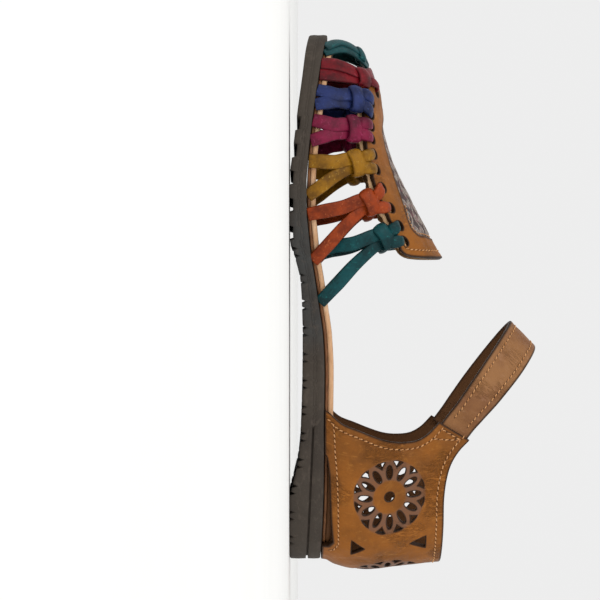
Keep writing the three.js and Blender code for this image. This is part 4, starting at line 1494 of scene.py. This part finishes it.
def garland(flat):
    """Height of the pattern between 0 and 1."""
    x = flat[:, 0]
    s = flat[:, 1]
    high = np.zeros(len(flat))
    for row in GARLAND_ROWS:
        stem = row + STEM_SWAY * np.sin(2 * math.pi * (x + row) / GARLAND_WAVE)
        high = np.maximum(high, np.exp(-(((s - stem) / STEM_HALF) ** 4)))
        for half in (0, 1):
            bends = np.floor((x + row) / GARLAND_WAVE) + 0.25 + 0.5 * half
            middle_x = bends * GARLAND_WAVE - row
            middle_s = row + (1 - 2 * half) * -1.2
            u = (x - middle_x) * 0.86 + (s - middle_s) * (0.5 - half)
            v = (s - middle_s) * 0.86 - (x - middle_x) * (0.5 - half)
            leaf = (u / 2.9) ** 2 + (v / 1.5) ** 2
            vein = 1 - 0.7 * np.exp(-((v / 0.3) ** 2))
            high = np.maximum(high, np.where(leaf < 1, vein * (1 - leaf**3), 0))
    return high


def inlay_relief(flat):
    """The strip swells at the instep, sinks towards the toe, and carries the pattern."""
    border = nearest(flat, window_ring)
    swell = 0.5 * np.clip(border / 3, 0, 1) * np.interp(flat[:, 0], [172, 188], [1, -1])
    return swell + 0.5 * garland(flat) * np.clip(border / 1.4 - 0.6, 0, 1)


def grown(ring, by):
    ring = way_round(ring, True)
    return ring - normals_of(ring, True) * by


inlay_ring = grown(window_ring, INLAY_UNDER)
points, faces, marks = sheet(inlay_ring, [], on_panel, 1.5, 0.45, inlay_relief, (), 0.3, garland)
add_piece("tooled_inlay", points, faces, INLAY_FINISH, "inlay_leather", **marks)

# %% The stitches round the inlay's rear end
BORDER_FRONT = 168
border_seam = grown(window_ring, -0.9)
border_seam = border_seam[border_seam[:, 0] < BORDER_FRONT]
turn_round = np.argsort(np.arctan2(border_seam[:, 1], BORDER_FRONT - border_seam[:, 0]))
build = Build()
base, out = on_sheet(on_panel, border_seam[turn_round], 1.75)
stitch_row(build, base, out, 1.5, 0.35, 0.22, 0.05)
build.piece("inlay_stitches", THREAD, "thread")

# %% [markdown]
# ## The lining
# A thin pale leather lies under the panel and peeps out below its edge between the knots, cut by hand
# and so a little uneven. It could be a copy of the panel moved inwards, but its own wavy outline and
# slightly smaller holes are what make the layers readable from the side.


# %% The lining
LINING_THICK = 0.85
LINING_SUNK = 0.95  # its inner face below the panel's


def on_lining(x, s, off):
    return on_panel(x, s, off - LINING_SUNK)


def lining_relief(flat):
    return 0.1 * ripple(flat, 9, 31)


def lining_outline():
    """The panel's outline, a little wider and uneven at the sides, a little smaller at both ends."""
    line = way_round(panel_ring, True)
    uneven = 1.6 + 0.7 * np.sin(line[:, 0] * 0.55) + 0.35 * np.sin(line[:, 0] * 1.7 + line[:, 1] * 0.2)
    side = np.clip((np.abs(line[:, 1]) - 9) / 5, 0, 1) * np.clip((line[:, 0] - 147) / 4, 0, 1)
    return line - normals_of(line, True) * (uneven * side - 0.7 * (1 - side))[:, None]


small_holes = [grown(ring, -0.2) for ring in hole_rings]
points, faces, marks = sheet(
    lining_outline(), small_holes, on_lining, LINING_THICK, 1.2, lining_relief, edge=0.25,
)
add_piece("panel_lining", points, faces, LINING, "lining_leather", **marks)

# %% [markdown]
# ## The thongs
# Each colour has two strands that rise from under the insole's edge, a wrap that binds them, and two
# puffy loops from the wrap into the panel's holes. A curve with a bevel would twist on its way over the
# foot, so each strand is a band whose flat side always faces away from the last. They are built alike
# and differ only in where they start, the height of the wrap and its tilt, as on a shoe laced by hand.


# %% Bands on the last
def last_band(build, route, wide, thick, step=0.7, **shape):
    """A band along (x, turn, off) places on the last; gives its length."""
    line = curve(route, step)
    middle = off_last(line[:, 0], line[:, 1], line[:, 2])
    out = last_normal(line[:, 0], line[:, 1])
    far = np.linspace(0, 1, len(line))
    if not np.isscalar(wide):
        wide = np.interp(far, np.linspace(0, 1, len(wide)), wide)
    if not np.isscalar(thick):
        thick = np.interp(far, np.linspace(0, 1, len(thick)), thick)
    points, faces, marks = strip(middle, out, wide, thick, **shape)
    build.add(points, faces, **marks)
    return float(length_along(middle)[-1])


WRAP_POINTS = 44


def wrap(build, x, turn, off, half_across, half_out, wide, tilt, thick):
    """A closed band round both strands; tilt turns it on the face of the shoe, in degrees."""
    middle = off_last(x, turn, off)
    out = last_normal(x, turn)
    forward = unit(on_last(x + 0.5, turn) - on_last(x - 0.5, turn))
    upward = np.cross(out, forward)
    lean = math.radians(tilt)
    across = forward * math.cos(lean) + upward * math.sin(lean)
    rise = upward * math.cos(lean) - forward * math.sin(lean)
    lap = np.arange(WRAP_POINTS) * 2 * math.pi / WRAP_POINTS
    flat_x = np.sign(np.cos(lap)) * np.abs(np.cos(lap)) ** 0.8
    flat_y = np.sign(np.sin(lap)) * np.abs(np.sin(lap)) ** 0.8
    sway = 0.35 * np.sin(lap * 2 + 0.6)
    line = middle + across * (half_across * flat_x)[:, None] + out * (half_out * flat_y)[:, None]
    line = line + rise * sway[:, None]
    facing = unit(across * (flat_x / half_across)[:, None] + out * (flat_y / half_out)[:, None])
    width = wide * (1 + 0.06 * np.sin(lap) + 0.04 * np.sin(3 * lap + 1))
    points, faces, marks = strip(line, facing, width, thick, square=0.8, closed=True, dome=0.7)
    build.add(points, faces, **marks)
    return float(length_along(line)[-1])


# %% A laced thong
# widths and thicknesses from the foot of a strand to its top, and from a loop's start into its hole
STRAND_WIDE = [6.2, 6.8, 6.6, 6.4, 5.2]
UNDER_WIDE = [6.0, 6.4, 6.0, 5.6, 4.8]
STRAND_THICK = [1.5, 1.6, 1.5, 1.6, 1.5]
LOOP_WIDE = [5.0, 6.0, 6.0, 5.0, 3.6, 3.0]
LOOP_THICK = [2.2, 2.9, 3.1, 2.6, 2.0, 1.5]


def laced_thong(name, front, back, knot, knot_z, holes, tilt, tucked, side):
    """Both strands, the wrap and the loops of one thong; under is how far a strand lies below."""
    build = Build()

    def at(x, z, off):
        return (x, float(turn_at(np.array(float(x)), z, side)), off)

    def up(x, share):
        low = float(sole_top(x))
        return low + (knot_z - low) * share

    def strand(x, lean, tuck, under):
        if tuck:
            top = float(sole_top(x)) + INSOLE
            route = [at(x, top + 1.4, -4.2), at(x + (knot - x) * 0.3, up(x, 0.34), -2.6)]
        else:
            turn = 0.4 if side > 0 else 179.6
            route = [(x, turn, 1.0), at(x + (knot - x) * 0.22, up(x, 0.24), 1.2)]
        route.append(at(x + (knot - x) * 0.58, up(x, 0.58), 1.3 - under * 0.6))
        route.append(at(knot + lean - (knot - x) * 0.1, knot_z - 3.4, 1.7 - under))
        route.append(at(knot + lean * 0.5, knot_z + 2.6, 1.8 - under))
        width = UNDER_WIDE if under else STRAND_WIDE
        return last_band(build, route, width, STRAND_THICK, square=0.4, dome=0.22)

    used = strand(front, 1.5, tucked, 0.0)
    used += strand(back, -1.5, False, 1.1)
    turn = float(turn_at(np.array(float(knot)), knot_z + 0.2, side))
    used += wrap(
        build, knot, turn, 1.5, half_across=5.7, half_out=2.7, wide=7.2, tilt=tilt * side, thick=1.9,
    )
    for number, x in enumerate(holes):
        low = knot + (2.5 if number == 0 else -2.5)
        middle = hole_middle(x, side)

        def near(apart):
            return float(turn_of(middle[0:1], middle[1:2] + side * apart)[0])

        start = at(low, knot_z + 1.4, 1.6)
        route = [
            start,
            (low * 0.85 + x * 0.15, start[1] * 0.66 + near(3.4) * 0.34, 3.7),
            (low * 0.4 + x * 0.6, start[1] * 0.2 + near(3.4) * 0.8, 4.2),
            (x, near(2.5), 3.5),
            (x, near(1.5), 1.8),
            (x, near(1.2), -0.5),
        ]
        used += last_band(build, route, LOOP_WIDE, LOOP_THICK, 0.45, square=0.75)
    print(f"{name} thong, {SIDES[side]} side, length that shows: {used:.0f} mm")
    node = f"thong_{name}_{SIDES[side]}"
    return build.piece(f"lacing_{name}_{SIDES[side]}", THONG_FINISH[name], f"{name}_leather", [node])


for name, front, back, knot, knot_z, holes, tilt, tucked in THONGS:
    for side in SIDES:
        laced_thong(name, front, back, knot, knot_z, holes, tilt, tucked, side)


# %% [markdown]
# ## Over the toes
# The red thong comes up in two strands on each side, is bound like the others, and runs on as one band
# across the toes; a short tail goes into the panel's foremost hole. The teal loop in front of it is
# two bands side by side. They cross the foot, so their routes are given for the inner half and
# mirrored.


# %% The red thong
# x, turn, how far off the last
RED_FRONT = [(232.4, 0.4, 1.0), (232, 13, 1.2), (230.6, 27, 1.3), (228.6, 40, 1.4), (227.8, 52, 1.0)]
RED_BACK = [(227.2, 0.4, 0.5), (227, 13, 0.4), (226.4, 27, 0.3), (225.8, 40, 0.5), (226.4, 52, 0.5)]
RED_BRIDGE = [(227.8, 52, 0.6), (228.8, 62, 0.9), (229.8, 76, 0.5), (230.4, 90, 0.4)]
TAIL_WIDE = [4.4, 5.0, 4.6, 3.6, 3.0, 2.8]
TAIL_THICK = [1.6, 1.7, 1.7, 1.6, 1.4, 1.3]


def mirror_turn(route, side):
    return route if side > 0 else [(x, 180 - turn, off) for x, turn, off in route]


def over_the_foot(half):
    """A route to the crest and down the other side, from the half that ends on the crest."""
    return half + mirror_turn(half[:-1][::-1], -1)


def red_tail():
    hole_x, hole_s = RED_HOLE
    hole_turn = float(turn_of(np.array([hole_x]), np.array([hole_s]))[0])
    return [
        (226.4, 54, 0.6), (225.0, 56, 2.4), (223.2, hole_turn - 4, 3.3),
        (hole_x + 1.4, hole_turn - 1, 2.9), (hole_x + 0.8, hole_turn, 1.2), (hole_x + 0.7, hole_turn, -0.4),
    ]


def red_thong():
    build = Build()
    used = 0
    flat = {"square": 0.4, "dome": 0.22}
    for side in (1, -1):
        used += last_band(build, mirror_turn(RED_FRONT, side), [6.6, 7.0, 6.6, 6.0, 5.2], 1.6, **flat)
        used += last_band(build, mirror_turn(RED_BACK, side), [6.2, 6.4, 6.0, 5.4, 4.8], 1.5, **flat)
        turn = 48 if side > 0 else 132
        used += wrap(
            build, 226.6, turn, 1.0, half_across=4.2, half_out=2.1, wide=7.6, tilt=6 * side, thick=1.7,
        )
        used += last_band(build, mirror_turn(red_tail(), side), TAIL_WIDE, TAIL_THICK, 0.45)
    bridge_wide = [5.2, 6.4, 6.6, 6.6, 6.6, 6.4, 5.2]
    used += last_band(build, over_the_foot(RED_BRIDGE), bridge_wide, 1.4, square=0.6)
    print(f"red thong, both sides, length that shows: {used:.0f} mm")
    return build.piece("lacing_red", THONG_FINISH["red"], "red_leather", ["thong_red_toe_strap"])


red_thong()

# %% The teal toe loop
LOOP_FRONT = [(240.8, 1, 1.0), (243.3, 20, 1.0), (243.4, 38, 0.9), (241.4, 56, 0.7), (238.2, 74, 0.5)]
LOOP_FRONT += [(236.6, 90, 0.4)]
LOOP_BACK = [(238.2, 1, 0.4), (240.4, 20, 0.1), (240.8, 36, 0.0), (238.8, 54, -0.1), (235.6, 72, -0.2)]
LOOP_BACK += [(234.0, 90, -0.3)]


def toe_loop():
    build = Build()
    front_wide = [6.4, 6.0, 5.8, 5.8, 5.8, 6.0, 6.4]
    back_wide = [5.0, 5.6, 5.4, 5.4, 5.4, 5.6, 5.0]
    used = last_band(build, over_the_foot(LOOP_FRONT), front_wide, 1.5, square=0.45, dome=0.25)
    used += last_band(build, over_the_foot(LOOP_BACK), back_wide, 1.4, square=0.45, dome=0.15)
    for side in (1, -1):
        turn = 66 if side > 0 else 114
        used += wrap(
            build, 239.0, turn, 0.5, half_across=4.1, half_out=1.4, wide=4.2, tilt=-22 * side, thick=1.0,
        )
    print(f"teal toe loop, length that shows: {used:.0f} mm")
    return build.piece("toe_loop_teal", THONG_FINISH["teal"], "teal_leather", ["thong_teal_toe_loop"])


toe_loop()

# %% [markdown]
# ## The ankle strap
# One stitched band runs from lug to lug round the front of the ankle, in a plane that slopes up
# towards the toe. Its ends slip under the lugs, where the counter's stitches hold them. It is cut flat
# like the other leather and bent along one middle line, which keeps both rows of stitches parallel to
# its edges all the way round.


# %% The strap's middle line
TUCK_START = 5.5  # mm from the strap's end, where it starts to come out from under the lug
TUCK_LONG = 9
TUCK_DEEP = 2.75


def strap_line():
    """The strap's middle line with its sideways and outward directions."""
    start = np.array([STRAP_START[0], 0, STRAP_START[1]])
    slope = np.array([STRAP_FRONT[0], 0, STRAP_FRONT[1]]) - start
    rise = unit(slope)
    up = np.array([-rise[2], 0, rise[0]])
    rows = STRAP_ROUTE + [(along, -side) for along, side in STRAP_ROUTE[:-1][::-1]]
    route = curve(rows, 0.012)
    middle = start + slope * route[:, :1] + np.array([0, STRAP_HALF, 0]) * route[:, 1:]
    share = np.clip(route[:, 0], 0, 1)
    middle = even(middle, CUT_STEP)
    share = np.interp(np.linspace(0, 1, len(middle)), np.linspace(0, 1, len(share)), share)
    across = unit(up - rise * (STRAP_LEAN * share)[:, None])
    out = unit(np.cross(across, np.gradient(middle, axis=0)))
    far = length_along(middle)
    near_end = np.minimum(far, far[-1] - far)
    tucked = 0.5 + 0.5 * np.cos(np.clip((near_end - TUCK_START) / TUCK_LONG, 0, 1) * math.pi)
    return far, middle - out * (TUCK_DEEP * tucked)[:, None], across, out


strap_far, strap_middle, strap_across, strap_out = strap_line()
STRAP_LENGTH = strap_far[-1]
print("strap laid flat, mm:", round(float(STRAP_LENGTH), 0))

# %% Bending the strap
STRAP_SEAM_IN = 3.3
# share of the half length, how far the lower and the upper edge are from the middle line
STRAP_EDGES = [(0, 7, 7), (0.12, 7, 7), (0.4, 7.7, 8.6), (0.7, 8.1, 9.6), (0.86, 8.2, 9.4), (1, 8.2, 8.8)]


half_wide = STRAP_WIDE / 2


def on_strap(s, w, off):
    """A point at a length along the strap, a width across it and a height off its inner face."""
    s, w, off = np.broadcast_arrays(s, w, off)
    share = 1 - np.abs(2 * s / STRAP_LENGTH - 1)
    edge = np.where(w > 0, read(STRAP_EDGES, 2, share), read(STRAP_EDGES, 1, share))
    to_seam = np.minimum(np.abs(w) / (half_wide - STRAP_SEAM_IN), 1)
    w = w + np.sign(w) * (edge - half_wide) * to_seam
    middle, across, out = [
        np.stack([np.interp(s, strap_far, rows[:, k]) for k in range(3)], -1)
        for rows in (strap_middle, strap_across, strap_out)
    ]
    return middle + across * w[..., None] + out * (off - STRAP / 2)[..., None]


low_end, high_end = (0, -half_wide), (0, half_wide)
low_far, high_far = (STRAP_LENGTH, -half_wide), (STRAP_LENGTH, half_wide)
strap_ring = even(np.array([low_end, low_far, high_far, high_end, low_end], float), CUT_STEP)[:-1]
print("strap at its widest, mm:", max(low + high for _, low, high in STRAP_EDGES))

# %% The strap's seams and creases
SEAM_FROM_END = 7
seam_at = half_wide - STRAP_SEAM_IN
seam_ends = (SEAM_FROM_END, STRAP_LENGTH - SEAM_FROM_END)
strap_seams = [even(np.array([(s, w) for s in seam_ends], float), 1.0) for w in (seam_at, -seam_at)]
STRAP_CREASES = [
    [(12, -4), (15, 0), (15.5, 4)], [(19, -6.5), (21, -2), (24, 1)], [(30, 6), (33, 2), (33.5, -1)],
    [(47, -2), (50, 2), (54, 4)], [(58, -6), (60, -1), (60.5, 3)],
]
strap_creases = [curve(row, 1.0) for row in STRAP_CREASES]
strap_creases += [(line * (-1, 1) + (STRAP_LENGTH, 0))[::-1] for line in strap_creases]


def strap_relief(flat):
    lift = 0.16 * ripple(flat, 20, 21) + 0.07 * ripple(flat, 7, 22)
    lift += troughs(flat, strap_seams, 0.26, 0.8)
    lift += troughs(flat, strap_creases, 0.18, 1.0)
    return lift


print("strap's seams, mm:", [round(float(length_along(line)[-1])) for line in strap_seams])

# %% The strap and its stitches
strap_guides = [line + np.array([0, s]) for line in strap_seams for s in (0, 0.9, -0.9)]
strap_guides += [line + normals_of(line, False) * s for line in strap_creases for s in (0, 0.9)]
points, faces, marks = sheet(
    strap_ring, [], on_strap, STRAP, 1.0, strap_relief, strap_guides, 0.55, None, strap_seams,
)
add_piece("ankle_strap_leather", points, faces, STRAP_LEATHER, "tan_leather", ["ankle_strap"], **marks)
build = Build()
sheet_stitches(build, strap_seams, on_strap, STRAP, strap_relief)
build.piece("strap_stitches", THREAD, "thread")

# %% [markdown]
# ## The studio
# The sandal stands on a plain pale floor, in a bright even room. Sunlight would show the shapes too,
# but with hard shadows under every thong. So a broad light from the front and above gives soft
# highlights, and a weaker one lifts the heel. The camera lies near the floor on the inner side and is
# rolled on its side, so that the toe points up in its view.


# %% The floor
FLOOR_HALF = 4.0  # metres


def floor_finish():
    made, start, place = new_finish("studio floor")
    dust = place.noise(0.02, 3, 0.5)
    colour = dust.rise(0.3, 0.7).mix(dye("#f6f6f4"), dye("#f8f8f6"))
    close_finish(start, colour, 0.85 + 0.05 * dust, dust, 0.01)
    return made


def flat_floor(half):
    mesh = bpy.data.meshes.new("floor")
    corners = [(-half, -half, 0), (half, -half, 0), (half, half, 0), (-half, half, 0)]
    mesh.from_pydata(corners, [], [(0, 1, 2, 3)])
    mesh.materials.append(floor_finish())
    floor = bpy.data.objects.new("floor", mesh)
    bpy.context.scene.collection.objects.link(floor)
    return floor


flat_floor(FLOOR_HALF)
print("floor, metres:", 2 * FLOOR_HALF)


# %% The lights
ROOM_LIGHT = 0.85


def area_light(name, place, aim, size, power, colour):
    data = bpy.data.lights.new(name, "AREA")
    data.shape = "SQUARE"
    data.size = size
    data.energy = power
    data.color = colour
    lamp = bpy.data.objects.new(name, data)
    lamp.location = place
    lamp.rotation_euler = (Vector(aim) - Vector(place)).to_track_quat("-Z", "Y").to_euler()
    bpy.context.scene.collection.objects.link(lamp)
    return lamp


area_light("key light", (0.55, 1.0, 0.75), (0, 0, 0.03), 0.7, 3.5, (1.0, 0.98, 0.95))
area_light("heel light", (-0.9, 0.9, 0.6), (0, 0, 0.05), 0.9, 1.2, (0.95, 0.97, 1.0))

world = bpy.data.worlds.new("pale room")
bpy.context.scene.world = world
world.use_nodes = True
world.node_tree.nodes["Background"].inputs["Color"].default_value = (1.0, 1.0, 1.0, 1.0)
world.node_tree.nodes["Background"].inputs["Strength"].default_value = ROOM_LIGHT
bpy.context.scene.view_settings.view_transform = "Standard"
print("lights:", len(bpy.data.lights), "and the room at", ROOM_LIGHT)

# %% The camera
CAMERA_AWAY = 0.9  # metres, as are its height, its place along the sandal and what it takes in
CAMERA_HIGH = 0.005
CAMERA_ALONG = 0.0015
FIELD = 0.287
FILM_WIDE = 36  # millimetres
view_data = bpy.data.cameras.new("camera")
view_data.sensor_width = FILM_WIDE
view_data.clip_start = 0.001
view_data.lens = FILM_WIDE * CAMERA_AWAY / FIELD
camera = bpy.data.objects.new("camera", view_data)
camera.location = (CAMERA_ALONG, CAMERA_AWAY, CAMERA_HIGH)
camera.rotation_mode = "QUATERNION"
rolled = Matrix(((0, 1, 0), (0, 0, 1), (1, 0, 0)))  # columns: the camera's right, up and back
camera.rotation_quaternion = rolled.to_quaternion()
bpy.context.scene.collection.objects.link(camera)
bpy.context.scene.camera = camera
print("focal length, mm:", round(view_data.lens, 1))
print("pieces:", len(PIECES), "triangles:", sum(PIECES.values()))
